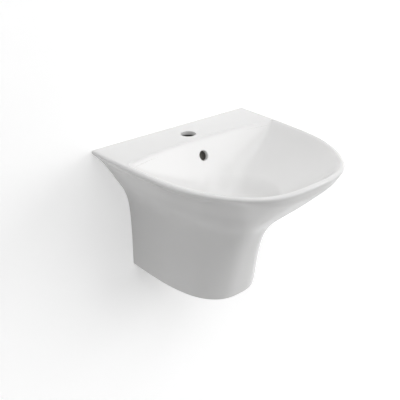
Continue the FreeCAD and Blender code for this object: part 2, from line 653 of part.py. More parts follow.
def lugged_nut(outer, thread, base_z, height, centre_y, lip_up):
    """Hand-turned nut: a ring with lugs, a thread bore and a lip that draws the pipe's collar up."""
    thread_bore, lip_bore = thread + FIT_GAP, PIPE_RADIUS + FIT_GAP
    base = Vector(0, centre_y, base_z)
    body = cylinder(outer, height, base)
    lug_corner = base + Vector(outer - NUT_LUG_SIZE / 2, -NUT_LUG_SIZE / 2, NUT_LUG_INSET)
    for i in range(NUT_LUGS):
        lug = Part.makeBox(NUT_LUG_SIZE, NUT_LUG_SIZE, height - 2 * NUT_LUG_INSET, lug_corner)
        lug.rotate(base, UP, 360 * i / NUT_LUGS)
        body = body.fuse(lug)
    thread_z = base_z if lip_up else base_z + NUT_LIP
    body = body.cut(cylinder(lip_bore, height, base))
    return body.cut(cylinder(thread_bore, height - NUT_LIP, Vector(0, centre_y, thread_z)))


def trap_inlet_nut():
    height = NUT_LIP + COLLAR_HEIGHT + PIPE_WASHER_HEIGHT + NUT_OVERLAP
    return lugged_nut(SLIP_NUT_RADIUS, TUBE_RADIUS, INLET_NUT_LOW_Z, height, DRAIN_Y, False)


def trap_union_nut():
    height = NUT_LIP + COLLAR_HEIGHT + PIPE_WASHER_HEIGHT + NUT_OVERLAP
    return lugged_nut(UNION_RADIUS + UNION_NUT_WALL, UNION_RADIUS, UNION_Z - NUT_OVERLAP, height,
                      REAR_LEG_Y, True)


def trap_inlet_washer():
    return ring(TUBE_RADIUS, TUBE_BORE, PIPE_WASHER_HEIGHT, over_drain(COLLAR_Z))


def trap_union_washer():
    return ring(UNION_RADIUS, PIPE_BORE, PIPE_WASHER_HEIGHT, Vector(0, REAR_LEG_Y, UNION_Z))


def bend_core(radius):
    """The U of the trap as a solid bar: front leg, half ring below, rear leg."""
    front = cylinder(radius, BEND_FRONT_LEG, over_drain(BEND_Z))
    circle = Part.Face(Part.Wire([Part.makeCircle(radius, over_drain(BEND_Z), UP)]))
    half_ring = circle.revolve(Vector(0, BEND_MIDDLE_Y, BEND_Z), Vector(1, 0, 0), 180)
    rear = cylinder(radius, BEND_REAR_LEG, Vector(0, REAR_LEG_Y, BEND_Z))
    return front.fuse(half_ring).fuse(rear)


def trap_bend():
    body = bend_core(PIPE_RADIUS)
    collar = cylinder(TUBE_RADIUS - FIT_GAP / 3, COLLAR_HEIGHT, over_drain(COLLAR_Z - COLLAR_HEIGHT))
    socket_height = NUT_OVERLAP - UNION_SOCKET_SHORT
    socket = cylinder(UNION_RADIUS, socket_height,
                      Vector(0, REAR_LEG_Y, UNION_Z - socket_height))
    neck_height = CLEANOUT_NECK_HEIGHT + PIPE_RADIUS
    neck = cylinder(CLEANOUT_RADIUS, neck_height, Vector(0, BEND_MIDDLE_Y, CLEANOUT_Z))
    cleanout = cylinder(CLEANOUT_BORE / 2, neck_height, Vector(0, BEND_MIDDLE_Y, CLEANOUT_Z))
    return body.fuse(collar).fuse(socket).fuse(neck).cut(bend_core(PIPE_BORE)).cut(cleanout)


def cleanout_seal():
    return ring(CLEANOUT_RADIUS, CLEANOUT_BORE / 2, CLEANOUT_SEAL_HEIGHT,
                Vector(0, BEND_MIDDLE_Y, CLEANOUT_Z - CLEANOUT_SEAL_HEIGHT))


def cleanout_cap():
    bore = CLEANOUT_RADIUS + FIT_GAP
    outer = bore + CLEANOUT_CAP_WALL
    floor = CLEANOUT_SEAL_HEIGHT + CLEANOUT_CAP_WALL
    height = floor + CLEANOUT_CAP_OVERLAP
    base = Vector(0, BEND_MIDDLE_Y, CLEANOUT_Z - floor)
    cap = turned([(0, 0), (outer - CLEANOUT_CAP_ROUND, 0), (outer, CLEANOUT_CAP_ROUND), (outer, height),
                  (bore, height), (bore, CLEANOUT_CAP_WALL), (0, CLEANOUT_CAP_WALL)], base)
    grip = Part.makeBox(2 * (outer - GRIP_INSET), GRIP_THICKNESS, GRIP_HEIGHT,
                        base - Vector(outer - GRIP_INSET, GRIP_THICKNESS / 2, GRIP_HEIGHT))
    return cap.fuse(grip)


def arm_core(radius, low_z):
    """Elbow and straight run to the wall as a solid bar."""
    elbow_z = OUTLET_Z - ELBOW_RADIUS
    run_start = REAR_LEG_Y + ELBOW_RADIUS
    riser = cylinder(radius, elbow_z - low_z, Vector(0, REAR_LEG_Y, low_z))
    circle = Part.Face(Part.Wire([Part.makeCircle(radius, Vector(0, REAR_LEG_Y, elbow_z), UP)]))
    elbow = circle.revolve(Vector(0, run_start, elbow_z), Vector(-1, 0, 0), 90)
    run = cylinder(radius, OUTLET_PAST_WALL - run_start, Vector(0, run_start, OUTLET_Z), INTO_WALL)
    return riser.fuse(elbow).fuse(run)


def outlet_arm():
    low_z = UNION_Z + PIPE_WASHER_HEIGHT
    collar = cylinder(UNION_RADIUS - FIT_GAP / 3, COLLAR_HEIGHT, Vector(0, REAR_LEG_Y, low_z))
    mark = ring(UNION_RADIUS, PIPE_RADIUS - OUTLET_MARK_DEPTH, OUTLET_MARK_WIDTH,
                Vector(0, OUTLET_MARK_FROM_WALL, OUTLET_Z), INTO_WALL)
    return arm_core(PIPE_RADIUS, low_z).fuse(collar).cut(arm_core(PIPE_BORE, low_z)).cut(mark)


def wall_rosette():
    bore, outer, t = PIPE_RADIUS + FIT_GAP, ROSETTE_RADIUS, ROSETTE_WALL
    rim, neck = ROSETTE_RIM_HEIGHT, ROSETTE_HEIGHT - ROSETTE_COLLAR_HEIGHT
    profile = [(outer - t, 0), (outer, 0), (outer, rim), (bore + 4 * t, neck), (bore + t, ROSETTE_HEIGHT),
               (bore, ROSETTE_HEIGHT), (bore, neck - t), (outer - t, rim)]
    return turned(profile, Vector(0, -ROSETTE_WALL_GAP, OUTLET_Z), OUT_OF_WALL)


# ---- wall fixings, two of each ----

def pair(piece):
    """The same piece at both fixing holes."""
    return Part.makeCompound([piece(point) for point in fixing_points()])


def fixing_bolt(point):
    thread, screw = BOLT_DIAMETER / 2, BOLT_SCREW_DIAMETER / 2
    tip, shoulder = -BOLT_IN_WALL, -BOLT_THREAD_IN_WALL
    return turned([(0, tip), (BOLT_TIP_RADIUS, tip), (screw, tip + BOLT_TIP_LENGTH), (screw, shoulder),
                   (thread, shoulder), (thread, BOLT_INSIDE - BOLT_END_CHAMFER),
                   (thread - BOLT_END_CHAMFER, BOLT_INSIDE), (0, BOLT_INSIDE)], point, OUT_OF_WALL)


def wall_plug(point):
    outer, bore = WALL_PLUG_DIAMETER / 2, BOLT_DIAMETER / 2 + BOLT_CLEARANCE / 2
    return turned([(bore, -WALL_PLUG_LENGTH), (outer - WALL_PLUG_TAPER, -WALL_PLUG_LENGTH),
                   (outer, -WALL_PLUG_LENGTH + WALL_PLUG_TAPER_LENGTH),
                   (outer, -FIT_GAP), (bore, -FIT_GAP)], point, OUT_OF_WALL)


def fixing_bush(point):
    sleeve, bore = (FIXING_HOLE_DIAMETER - BUSH_CLEARANCE) / 2, BOLT_DIAMETER / 2 + BOLT_CLEARANCE
    flange, seat = BUSH_FLANGE_DIAMETER / 2, PANEL_THICKNESS
    top = seat + BUSH_FLANGE_HEIGHT
    return turned([(bore, BUSH_FROM_WALL), (sleeve, BUSH_FROM_WALL), (sleeve, seat), (flange, seat),
                   (flange, top), (bore, top)], point, OUT_OF_WALL)


def fixing_washer(point):
    base = point + OUT_OF_WALL * (PANEL_THICKNESS + BUSH_FLANGE_HEIGHT)
    return ring(WASHER_DIAMETER / 2, BOLT_DIAMETER / 2 + BOLT_CLEARANCE, WASHER_HEIGHT, base, OUT_OF_WALL)


def fixing_nut(point):
    base = point + OUT_OF_WALL * (PANEL_THICKNESS + BUSH_FLANGE_HEIGHT + WASHER_HEIGHT)
    nut = hexagon(NUT_ACROSS_FLATS, NUT_HEIGHT, base, OUT_OF_WALL)
    return nut.cut(cylinder(BOLT_DIAMETER / 2 + BOLT_CLEARANCE / 2, NUT_HEIGHT, base, OUT_OF_WALL))


PARTS = {
    "basin_body": basin_body,
    "waste_body": waste_body,
    "flange_seal": flange_seal,
    "cone_washer": cone_washer,
    "slip_washer": slip_washer,
    "waste_backnut": waste_backnut,
    "plug_cap": plug_cap,
    "plug_seal": plug_seal,
    "plug_spindle": plug_spindle,
    "plug_cartridge": plug_cartridge,
    "plug_spring": plug_spring,
    "trap_inlet_nut": trap_inlet_nut,
    "trap_inlet_washer": trap_inlet_washer,
    "trap_bend": trap_bend,
    "trap_union_nut": trap_union_nut,
    "trap_union_washer": trap_union_washer,
    "cleanout_seal": cleanout_seal,
    "cleanout_cap": cleanout_cap,
    "outlet_arm": outlet_arm,
    "wall_rosette": wall_rosette,
    "fixing_bolts": lambda: pair(fixing_bolt),
    "wall_plugs": lambda: pair(wall_plug),
    "fixing_bushes": lambda: pair(fixing_bush),
    "fixing_washers": lambda: pair(fixing_washer),
    "fixing_nuts": lambda: pair(fixing_nut),
}


def main():
    os.makedirs("parts", exist_ok=True)
    for name, make in PARTS.items():
        shape = make()
        shape.exportStep("parts/" + name + ".step")
        print(name, "valid" if shape.isValid() else "INVALID", len(shape.Solids), "solids",
              round(shape.Volume), "mm3")


if __name__ == "__main__":
    main()
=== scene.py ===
import json
import math

import bmesh
import bpy
import numpy as np
from mathutils import Matrix, Vector


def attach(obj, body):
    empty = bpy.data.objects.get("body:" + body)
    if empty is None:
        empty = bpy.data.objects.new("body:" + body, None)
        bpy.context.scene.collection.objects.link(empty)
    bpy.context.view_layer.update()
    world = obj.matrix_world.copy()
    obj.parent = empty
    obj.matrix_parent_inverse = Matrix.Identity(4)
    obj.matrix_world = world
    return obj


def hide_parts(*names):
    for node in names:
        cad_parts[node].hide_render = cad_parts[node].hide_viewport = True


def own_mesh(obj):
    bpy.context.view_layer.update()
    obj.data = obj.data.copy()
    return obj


# Looks for a wall hung basin with its half pedestal, waste, trap and fixings.
# Sizes are millimetres in the CAD frame, turned to metres where a mesh is made.
# The wall is the plane y = 0, the basin stands out along -Y, and z = 0 is the line of the fixings.

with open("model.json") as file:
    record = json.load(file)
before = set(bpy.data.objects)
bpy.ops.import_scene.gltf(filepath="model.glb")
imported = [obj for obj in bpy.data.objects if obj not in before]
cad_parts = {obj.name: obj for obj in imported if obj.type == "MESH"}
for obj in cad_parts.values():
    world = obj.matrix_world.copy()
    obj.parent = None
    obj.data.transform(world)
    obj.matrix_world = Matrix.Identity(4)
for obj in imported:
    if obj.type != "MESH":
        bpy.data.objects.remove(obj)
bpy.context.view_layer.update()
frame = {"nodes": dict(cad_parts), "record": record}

MM = 0.001
TINY = 1e-6
CUT_PAST = 1.0  # how far a cutting shape runs past the face that it cuts
PROBE = 0.01
THREAD_FIT = 0.1

# ceramic
WIDTH, DEPTH, HEIGHT = 450.0, 437.0, 319.0
FOOT_WIDTH, FOOT_DEPTH, FOOT_SLOPE = 253.0, 236.5, 0.105
RIM_Z = 80.0
SKIRT_WALL, DECK_THICKNESS, LIP_WIDTH = 10.0, 9.0, 7.0
RIM_OUTLINE = [(1.0, 0.0), (1.0, 0.207), (0.976, 0.442), (0.941, 0.690), (0.549, 1.0), (0.0, 1.0)]
FOOT_OUTLINE = [(1.0, 0.0), (0.964, 0.366), (0.846, 0.680), (0.613, 0.895), (0.292, 1.0), (0.0, 1.0)]
SKIRT_PROFILE = [(0.083, 0.779, 0.968), (0.165, 0.594, 0.828), (0.254, 0.419, 0.681), (0.343, 0.216, 0.510),
                 (0.444, 0.075, 0.317), (0.571, 0.030, 0.174), (0.746, 0.005, 0.094), (0.905, 0.0, 0.040)]
LIP_LEVELS = [(0.0, 6.5), (0.0, 2.9), (4.6, -1.3), (11.0, 3.4)]
FOOT_LEVELS = [(4.0, 0.0), (0.0, 0.5), (0.0, 3.5)]
ROOF_LEVELS = [(0.0, 1.0, 3.2), (0.0, 1.0, 2.4), (0.5, 0.9, 1.3)]

# bowl
DECK_DEPTH_MIDDLE, DECK_DEPTH_SIDES = 90.0, 115.0
DECK_CORNER_ROUND, DECK_EDGE_ROUND = 18.0, 6.0
BACK_WALL_STEEPNESS = 2.4
BOWL_SLOPE_DEPTH, BOWL_WALL_DEPTH, BOWL_WALL_POWER = 105.0, 36.0, 4
VALLEY_SHARPNESS = 2.5
SEAT_DEPTH, SEAT_RADIUS, SEAT_BLEND = 134.0, 33.0, 62.0
BOWL_Y, DRAIN_Y = -200.0, -221.0
BOWL_WALL = 8.0
OUTLINE_POINTS, RIM_POINTS, DECK_EDGE_POINTS, CORNER_POINTS = 4001, 1201, 121, 25
HOLLOW_COLUMNS, HOLLOW_ROWS, SOLVE_ROUNDS = 121, 61, 8

# holes in the ceramic
TAP_HOLE_RADIUS, TAP_HOLE_Y, TAP_HOLE_ROUND = 17.5, -56.0, 1.6
OVERFLOW_RADIUS, OVERFLOW_DROP, OVERFLOW_ROUND = 11.5, 37.0, 1.8
DRAIN_RADIUS, DRAIN_ROUND = 23.0, 1.5
BOSS_RADIUS, BOSS_HEIGHT = 37.0, 36.0
CHANNEL_WIDTH, CHANNEL_GAP, CHANNEL_TOP, CHANNEL_BEND = 40.0, 12.0, 24.0, 84.0
PANEL_HEIGHT, PANEL_THICKNESS = 140.0, 12.0
FIXING_X, FIXING_HOLE_RADIUS = 100.0, 8.0
SEAT_Z = RIM_Z - SEAT_DEPTH
BOSS_Z = SEAT_Z - BOSS_HEIGHT

# waste and plug
FLANGE_RADIUS, FLANGE_THICKNESS, FLANGE_SEAL, FLANGE_ROUND = 31.5, 3.0, 1.5, 1.5
TUBE_RADIUS, TUBE_BORE, TUBE_LENGTH = 20.95, 18.55, 76.0
TUBE_THREAD_TOP, TUBE_THREAD_PITCH, TUBE_THREAD_RIDGE = 30.0, 2.3, 0.8
THREAD_SHOULDER, THREAD_MARGIN = 1.0, 1.5
MOUTH_RADIUS, MOUTH_SLOPE, THROAT_HEIGHT, THROAT_DEPTH = 19.75, 1.7, 0.5, 2.0
SLOT_WIDTH, SLOT_TOP, SLOT_HEIGHT, SLOT_REACH = 20.0, 12.0, 12.0, 30.0
BRIDGE_TOP, BRIDGE_HEIGHT, BRIDGE_RIB, BRIDGE_RIBS, RIB_SUNK = 32.0, 6.0, 3.0, 3, 0.2
HUB_RADIUS, HUB_BORE = 7.0, 4.0
CONE_HEIGHT, SLIP_HEIGHT, BACKNUT_HEIGHT, BACKNUT_ACROSS = 6.0, 1.5, 11.0, 54.0
CAP_RADIUS, CAP_EDGE, CAP_CROWN, CAP_UNDER, CAP_GAP, PLUG_TRAVEL = 31.0, 2.4, 3.0, 0.8, 0.3, 9.0
FLANGE_Z = SEAT_Z + FLANGE_SEAL
TUBE_END_Z = FLANGE_Z - TUBE_LENGTH
CAP_Z = FLANGE_Z + FLANGE_THICKNESS + CAP_GAP + PLUG_TRAVEL
SPRING_RADIUS, SPRING_WIRE, SPRING_TURNS, SPRING_RISE, SPRING_START = 3.9, 0.8, 5, 16.7, 1.5
WIRE_SIDES, THREAD_SIDES, TURN_STEPS, RIB_SIDES = 14, 4, 40, 20

# trap
PIPE_RADIUS, PIPE_BORE, PIPE_WASHER, COLLAR_HEIGHT = 16.0, 14.2, 2.5, 2.0
BEND_RADIUS, BEND_FRONT_LEG, BEND_REAR_LEG = 36.0, 26.0, 10.0
ELBOW_RADIUS, ELBOW_STRAIGHT, OUTLET_END = 26.0, 12.0, 45.0
INLET_NUT_RADIUS, UNION_NUT_RADIUS, UNION_THREAD_RADIUS = 26.0, 24.0, 20.0
NUT_OVERLAP, NUT_LIP, NUT_GAP, NUT_LUGS, LUG_RADIUS, LUG_SHORT = 14.0, 3.0, 0.3, 8, 2.5, 3.2
GRIP_NUT_HEIGHT = NUT_LIP + COLLAR_HEIGHT + PIPE_WASHER + NUT_OVERLAP
UNION_SHORT, MARK_FROM_WALL, MARK_WIDTH, MARK_DEPTH = 2.0, 1.0, 1.0, 0.4
NECK_RADIUS, NECK_BORE, NECK_HEIGHT = 12.5, 10.0, 10.0
CLEANOUT_WALL, CLEANOUT_SEAL, CLEANOUT_OVERLAP = 2.5, 2.0, 7.0
CLEANOUT_ROUND, CLEANOUT_RIBS, CLEANOUT_RIB, CLEANOUT_RIB_SHORT = 1.0, 24, 0.5, 3.4
GRIP_INSET, GRIP_THICKNESS, GRIP_HEIGHT, GRIP_SUNK = 3.0, 4.0, 5.0, 1.0
ROSETTE_RADIUS, ROSETTE_HEIGHT, ROSETTE_WALL, ROSETTE_COLLAR, ROSETTE_RIM = 32.0, 10.0, 1.2, 2.0, 1.5
ROSETTE_GAP = 0.3
COLLAR_Z = TUBE_END_Z - PIPE_WASHER
BEND_Z = COLLAR_Z - BEND_FRONT_LEG
BEND_Y, REAR_Y = DRAIN_Y + BEND_RADIUS, DRAIN_Y + 2 * BEND_RADIUS
UNION_Z = BEND_Z + BEND_REAR_LEG
OUTLET_Z = UNION_Z + ELBOW_STRAIGHT + ELBOW_RADIUS
CLEANOUT_Z = BEND_Z - BEND_RADIUS - PIPE_RADIUS - NECK_HEIGHT

# fixings
BOLT_RADIUS, BOLT_CORE, BOLT_PITCH = 5.0, 4.3, 1.5
SCREW_RADIUS, SCREW_CORE, SCREW_PITCH = 4.5, 3.3, 4.0
BOLT_IN_WALL, BOLT_INSIDE, BOLT_SHOULDER, BOLT_TIP = 55.0, 36.0, 6.0, 8.0
BOLT_POINT, BOLT_CHAMFER, SCREW_RIDGE_SHARE = 1.0, 1.0, 0.62
PLUG_RADIUS, PLUG_BORE, PLUG_LENGTH, PLUG_TAPER = 7.0, 5.1, 60.0, 6.0
PLUG_RIBS, PLUG_RIB_PITCH, PLUG_RIB_DEPTH = 8, 6.0, 0.8
PLUG_RIB_TOP, PLUG_RIB_FOOT, PLUG_RIB_END, PLUG_NOSE, PLUG_SUNK = 3.4, 3.8, 5.6, 1.0, 0.3
PLUG_SLIT, PLUG_SLIT_START, PLUG_SLIT_END, PLUG_SLIT_REACH = 1.2, 14.0, 8.0, 9.0
BUSH_SLEEVE, BUSH_BORE, BUSH_FLANGE, BUSH_TOP, BUSH_FROM_WALL = 7.9, 5.2, 13.0, 15.0, 1.0
WASHER_TOP, NUT_HEIGHT, NUT_ACROSS = 17.0, 8.0, 17.0
CHAMFER_PAST, CHAMFER_LAND = 0.2, 0.3


# ---- shader maths ----

class Value:
    """A node socket that can be used in arithmetic."""

    def __init__(self, finish, socket):
        self.finish, self.socket = finish, socket

    def maths(self, operation, *values):
        return self.finish.node("ShaderNodeMath", {"operation": operation}, *values)

    def __add__(self, other):
        return self.maths("ADD", self, other)

    def __rsub__(self, other):
        return self.maths("SUBTRACT", other, self)

    def __mul__(self, other):
        return self.maths("MULTIPLY", self, other)

    __radd__, __rmul__ = __add__, __mul__

    def above(self, level, soft):
        """0 below the level, 1 above it, over a band of that softness."""
        return self.finish.node("ShaderNodeMapRange", {"interpolation_type": "SMOOTHSTEP"},
                                self, level - soft, level + soft)


class Finish:
    """The nodes of a material or of the world, under construction."""

    def __init__(self, owner):
        owner.use_nodes = True
        self.owner, self.tree = owner, owner.node_tree
        self.tree.nodes.clear()
        if isinstance(owner, bpy.types.Material):
            self.place = self.node("ShaderNodeTexCoord", {}, out="Object")

    def feed(self, socket, value):
        if isinstance(value, Value):
            self.tree.links.new(value.socket, socket)
        else:
            socket.default_value = value

    def node(self, kind, settings, *values, out=0, **named):
        """Adds a node: settings first, then values or links by position or by socket name."""
        made = self.tree.nodes.new(kind)
        for key, setting in settings.items():
            setattr(made, key, setting)
        sockets = list(zip(made.inputs, values))
        sockets += [(made.inputs[key.replace("_", " ")], value) for key, value in named.items()]
        for socket, value in sockets:
            self.feed(socket, value)
        return Value(self, made.outputs[out])

    def noise(self, scale, detail=3.0, stretch=(1, 1, 1)):
        """Noise about 0.5 with that many features a metre."""
        place = self.node("ShaderNodeMapping", {}, self.place, Scale=stretch)
        return self.node("ShaderNodeTexNoise", {}, place, Scale=scale, Detail=detail)

    def mix(self, share, a, b):
        """Colour a where the share is 0 and b where it is 1."""
        made = self.tree.nodes.new("ShaderNodeMix")
        made.data_type = "RGBA"
        for socket, value in ((made.inputs[0], share), (made.inputs[6], a), (made.inputs[7], b)):
            self.feed(socket, value)
        return Value(self, made.outputs[2])

    def bump(self, height, depth):
        """Relief of that depth in metres."""
        return self.node("ShaderNodeBump", {}, Strength=1.0, Distance=depth, Height=height)

    def surface(self, **named):
        shader = self.node("ShaderNodeBsdfPrincipled", {}, **named)
        return self.shown(shader)

    def shown(self, shader, kind="Material"):
        """Links the shader to the output and gives back the finished material or world."""
        output = self.tree.nodes.new("ShaderNodeOutput" + kind)
        self.tree.links.new(shader.socket, output.inputs["Surface"])
        return self.owner

    def along(self, axis):
        """Metres along one of the object's axes."""
        return self.node("ShaderNodeSeparateXYZ", {}, self.place, out=axis)


def paint(name):
    return Finish(bpy.data.materials.new(name))


def grey(level, warm=0.0):
    return (level, level * (1 - 0.4 * warm), level * (1 - warm), 1.0)


# Colours of the unglazed body, darker than fired ceramic's own off-white: painted shade for the hollow seen
# through the holes.
CLAY_AND_SHADE_DARK, CLAY_AND_SHADE_PALE = (0.33, 0.315, 0.285, 1), (0.42, 0.40, 0.365, 1)
GLAZE_DARK, GLAZE_PALE = grey(0.855, 0.012), grey(0.875, 0.006)
GLAZE_ROUGHNESS, GLAZE_CLOUD, CLAY_ROUGHNESS, GLAZE_IOR = 0.20, 0.05, 0.45, 1.52
GLAZE_RELIEF = 0.00012
WALL_SIDE_LEVEL, WALL_SIDE_SOFT = -0.0002, 0.0001


def glaze():
    """White sanitary glaze, with the unglazed fired body inside and where the piece meets the wall; that
    body's colour is painted darker than fired ceramic, as shade in the hollow.
    """
    f = paint("white_glaze")
    wall_side = f.along("Y").above(WALL_SIDE_LEVEL, WALL_SIDE_SOFT)
    inside = f.node("ShaderNodeAttribute", {"attribute_name": "unglazed"}, out="Fac")
    bare_and_shaded = f.node("ShaderNodeMath", {"operation": "MAXIMUM"}, wall_side, inside)
    # Unglazed body colour, painted dark as shade inside the hollow.
    clay_and_shade = f.mix(f.noise(160), CLAY_AND_SHADE_DARK, CLAY_AND_SHADE_PALE)
    white = f.mix(f.noise(9, 2.0), GLAZE_DARK, GLAZE_PALE)
    relief = f.bump(f.noise(38, 1.0) * (1 - bare_and_shaded) * 0.5 + f.noise(900, 2.0) * bare_and_shaded, GLAZE_RELIEF)
    roughness = GLAZE_ROUGHNESS + GLAZE_CLOUD * f.noise(25) + CLAY_ROUGHNESS * bare_and_shaded
    return f.surface(Base_Color=f.mix(bare_and_shaded, white, clay_and_shade), Roughness=roughness, Normal=relief, IOR=GLAZE_IOR)


def metal(name, low, high, roughness, grain, depth=0.00002, stretch=(1, 1, 1)):
    """Metal whose tone and polish vary along its grain."""
    f = paint(name)
    lines = f.noise(grain, 3.0, stretch)
    cloud = f.noise(30, 2.0)
    colour = f.mix(cloud, low, high)
    return f.surface(Base_Color=colour, Metallic=1.0, Roughness=roughness * (0.7 + 0.6 * lines),
                     Normal=f.bump(lines, depth))


def moulded(name, low, high, roughness, depth=0.00003, grain=1500):
    """Moulded plastic or rubber with a fine skin."""
    f = paint(name)
    skin = f.noise(grain, 2.0)
    cloud = f.noise(22, 3.0)
    colour = f.mix(cloud, low, high)
    return f.surface(Base_Color=colour, Roughness=roughness * (0.8 + 0.4 * cloud), Normal=f.bump(skin, depth))


FINISHES = {
    "ceramic": glaze(),
    "chrome": metal("polished_chrome", (0.78, 0.79, 0.81, 1), (0.86, 0.87, 0.89, 1), 0.07, 300, 0.000004),
    "brass": metal("machined_brass", (0.62, 0.44, 0.18, 1), (0.76, 0.57, 0.28, 1), 0.28, 900,
                   stretch=(0.1, 0.1, 3)),
    "rubber": moulded("black_rubber", (0.018, 0.018, 0.02, 1), (0.035, 0.035, 0.038, 1), 0.62, 0.00006, 900),
    "white_plastic": moulded("white_plastic", (0.77, 0.77, 0.75, 1), (0.83, 0.83, 0.815, 1), 0.34),
    "nylon": moulded("grey_nylon", (0.34, 0.35, 0.37, 1), (0.42, 0.43, 0.45, 1), 0.45),
    "steel": metal("zinc_plate", (0.50, 0.52, 0.55, 1), (0.68, 0.69, 0.70, 1), 0.36, 500, 0.00003),
    "spring_steel": metal("spring_wire", (0.40, 0.41, 0.43, 1), (0.52, 0.53, 0.55, 1), 0.24, 700, 0.00001),
}


# ---- meshes ----

class Shell:
    """Points and faces gathered row by row."""

    def __init__(self):
        self.points, self.faces = np.zeros((0, 3)), []

    def add(self, points):
        start = len(self.points)
        self.points = np.vstack([self.points, np.asarray(points, float)])
        return list(range(start, len(self.points)))

    def strip(self, a, b, closed=True, skip=()):
        """Quads between two rows of indices, without the skipped columns."""
        count = len(a)
        for i in range(count if closed else count - 1):
            if i not in skip:
                j = (i + 1) % count
                self.faces.append((a[i], a[j], b[j], b[i]))

    def tube(self, rows):
        """Faces from each row to the next, closed at both ends."""
        for a, b in zip(rows, rows[1:]):
            self.strip(a, b)
        self.faces += [tuple(rows[0]), tuple(rows[-1])]

    def mesh(self, name, inside=False):
        data = bpy.data.meshes.new(name)
        data.from_pydata((self.points * MM).tolist(), [], self.faces)
        for _ in range(2):  # the second slot marks the faces inside a hollow
            data.materials.append(FINISHES["ceramic"])
        data.polygons.foreach_set("material_index", [int(inside)] * len(data.polygons))
        work = bmesh.new()
        work.from_mesh(data)
        bmesh.ops.recalc_face_normals(work, faces=work.faces)
        work.to_mesh(data)
        work.free()
        thing = bpy.data.objects.new(name, data)
        bpy.context.scene.collection.objects.link(thing)
        return thing


def carved(target, tool, operation):
    """The target's mesh cut by, or joined to, the tool, which is used up."""
    modifier = target.modifiers.new("carve", "BOOLEAN")
    modifier.object, modifier.operation, modifier.solver = tool, operation, "MANIFOLD"
    graph = bpy.context.evaluated_depsgraph_get()
    data = bpy.data.meshes.new_from_object(target.evaluated_get(graph))
    target.modifiers.clear()
    target.data = data
    bpy.data.objects.remove(tool)
    return target


def box_tool(low, high):
    shell = Shell()
    corners = (low[0], low[1]), (high[0], low[1]), (high[0], high[1]), (low[0], high[1])
    rows = [shell.add([(x, y, z) for x, y in corners]) for z in (low[2], high[2])]
    shell.tube(rows)
    return shell.mesh("tool", True)


def round_tool(radius, start, end, count=96):
    """A cylinder from start to end."""
    start, end = Vector(start), Vector(end)
    turn = (end - start).to_track_quat("Z", "Y")
    ring = [turn @ Vector((radius * math.cos(a), radius * math.sin(a), 0))
            for a in (2 * math.pi * i / count for i in range(count))]
    shell = Shell()
    rows = [shell.add([place + p for p in ring]) for place in (start, end)]
    shell.tube(rows)
    return shell.mesh("tool", True)


# ---- the basin's surfaces ----

def cubic_basis(count, t):
    """Weights of a clamped cubic spline's control points at each t from 0 to 1."""
    knots = np.concatenate([[0.0] * 3, np.linspace(0, 1, count - 2), [1.0] * 3])
    t = np.minimum(np.asarray(t, float), 1 - 1e-12)[:, None]
    values = ((knots[:-1] <= t) & (t < knots[1:])).astype(float)
    for degree in (1, 2, 3):
        n = len(knots) - degree - 1
        rise, fall = knots[degree:degree + n] - knots[:n], knots[degree + 1:] - knots[1:n + 1]
        up = np.where(rise > 0, (t - knots[:n]) / np.where(rise > 0, rise, 1), 0)
        down = np.where(fall > 0, (knots[degree + 1:] - t) / np.where(fall > 0, fall, 1), 0)
        values = up * values[:, :n] + down * values[:, 1:n + 1]
    return values


def mirrored(half):
    return half + [(-x, y) for x, y in half[-2::-1]]


def skirt_level(drop, side, front, inset):
    """Control points of the skirt's outline at one level below the rim."""
    half_width = (FOOT_WIDTH + (WIDTH - FOOT_WIDTH) * side) / 2
    depth = FOOT_DEPTH + (DEPTH - FOOT_DEPTH) * front
    lean = max(drop - DECK_THICKNESS, 0) / (HEIGHT - DECK_THICKNESS)
    points = []
    for (rim_x, rim_y), (foot_x, foot_y) in zip(mirrored(RIM_OUTLINE), mirrored(FOOT_OUTLINE)):
        x = (foot_x * FOOT_WIDTH + (rim_x * WIDTH - foot_x * FOOT_WIDTH) * side) / 2
        y = foot_y * FOOT_DEPTH + (rim_y * DEPTH - foot_y * FOOT_DEPTH) * front
        x *= 1 - inset / half_width
        y *= -(1 - inset / depth)
        points.append((x, y, RIM_Z - drop + FOOT_SLOPE * y * lean * lean))
    return points


def skirt_rows(wall):
    middle = [(share * HEIGHT, side, front, wall) for share, side, front in SKIRT_PROFILE]
    if wall == 0:
        top = [(drop, 1, 1, inset) for drop, inset in LIP_LEVELS]
        foot = [(HEIGHT - above, 0, 0, inset) for above, inset in FOOT_LEVELS]
    else:
        top = [(DECK_THICKNESS + drop * wall, side, 1, inset * wall) for drop, side, inset in ROOF_LEVELS]
        foot = [(HEIGHT - FOOT_LEVELS[0][0], 0, 0, wall), (HEIGHT + wall, 0, 0, wall)]
    return np.array([skirt_level(*level) for level in top + middle + foot])


def skirt_points(wall, u, v):
    """Points of the skirt's skin: rows down from the rim, columns from the right wall edge to the left."""
    rows = skirt_rows(wall)
    return np.einsum("ui,ijk,vj->uvk", cubic_basis(len(rows), u), rows, cubic_basis(rows.shape[1], v))


def even_columns(count):
    """Outline parameters at an even spacing round the rim."""
    v = np.linspace(0, 1, OUTLINE_POINTS)
    line = skirt_points(0, [0.0], v)[0]
    length = np.concatenate([[0], np.cumsum(np.linalg.norm(np.diff(line, axis=0), axis=1))])
    return np.interp(np.linspace(0, length[-1], count), length, v)


def deck_edge(x):
    """Distance from the wall at which the deck turns down into the bowl."""
    return DECK_DEPTH_MIDDLE + (DECK_DEPTH_SIDES - DECK_DEPTH_MIDDLE) * (2 * x / WIDTH) ** 2


def back_wall_run(drop):
    """Distance from the deck's edge at which the bowl's back wall is that far down."""
    return math.sqrt((drop / BACK_WALL_STEEPNESS + DECK_EDGE_ROUND) ** 2 - DECK_EDGE_ROUND ** 2)


class Around:
    """A closed line in plan as a distance from a point on the middle line against direction."""

    def __init__(self, line, middle_y):
        angle = np.arctan2(line[:, 1] - middle_y, line[:, 0])
        order = np.argsort(angle)
        self.angle, self.reach = angle[order], np.hypot(line[order, 0], line[order, 1] - middle_y)

    def __call__(self, angle):
        return np.interp(angle, self.angle, self.reach, period=2 * math.pi)


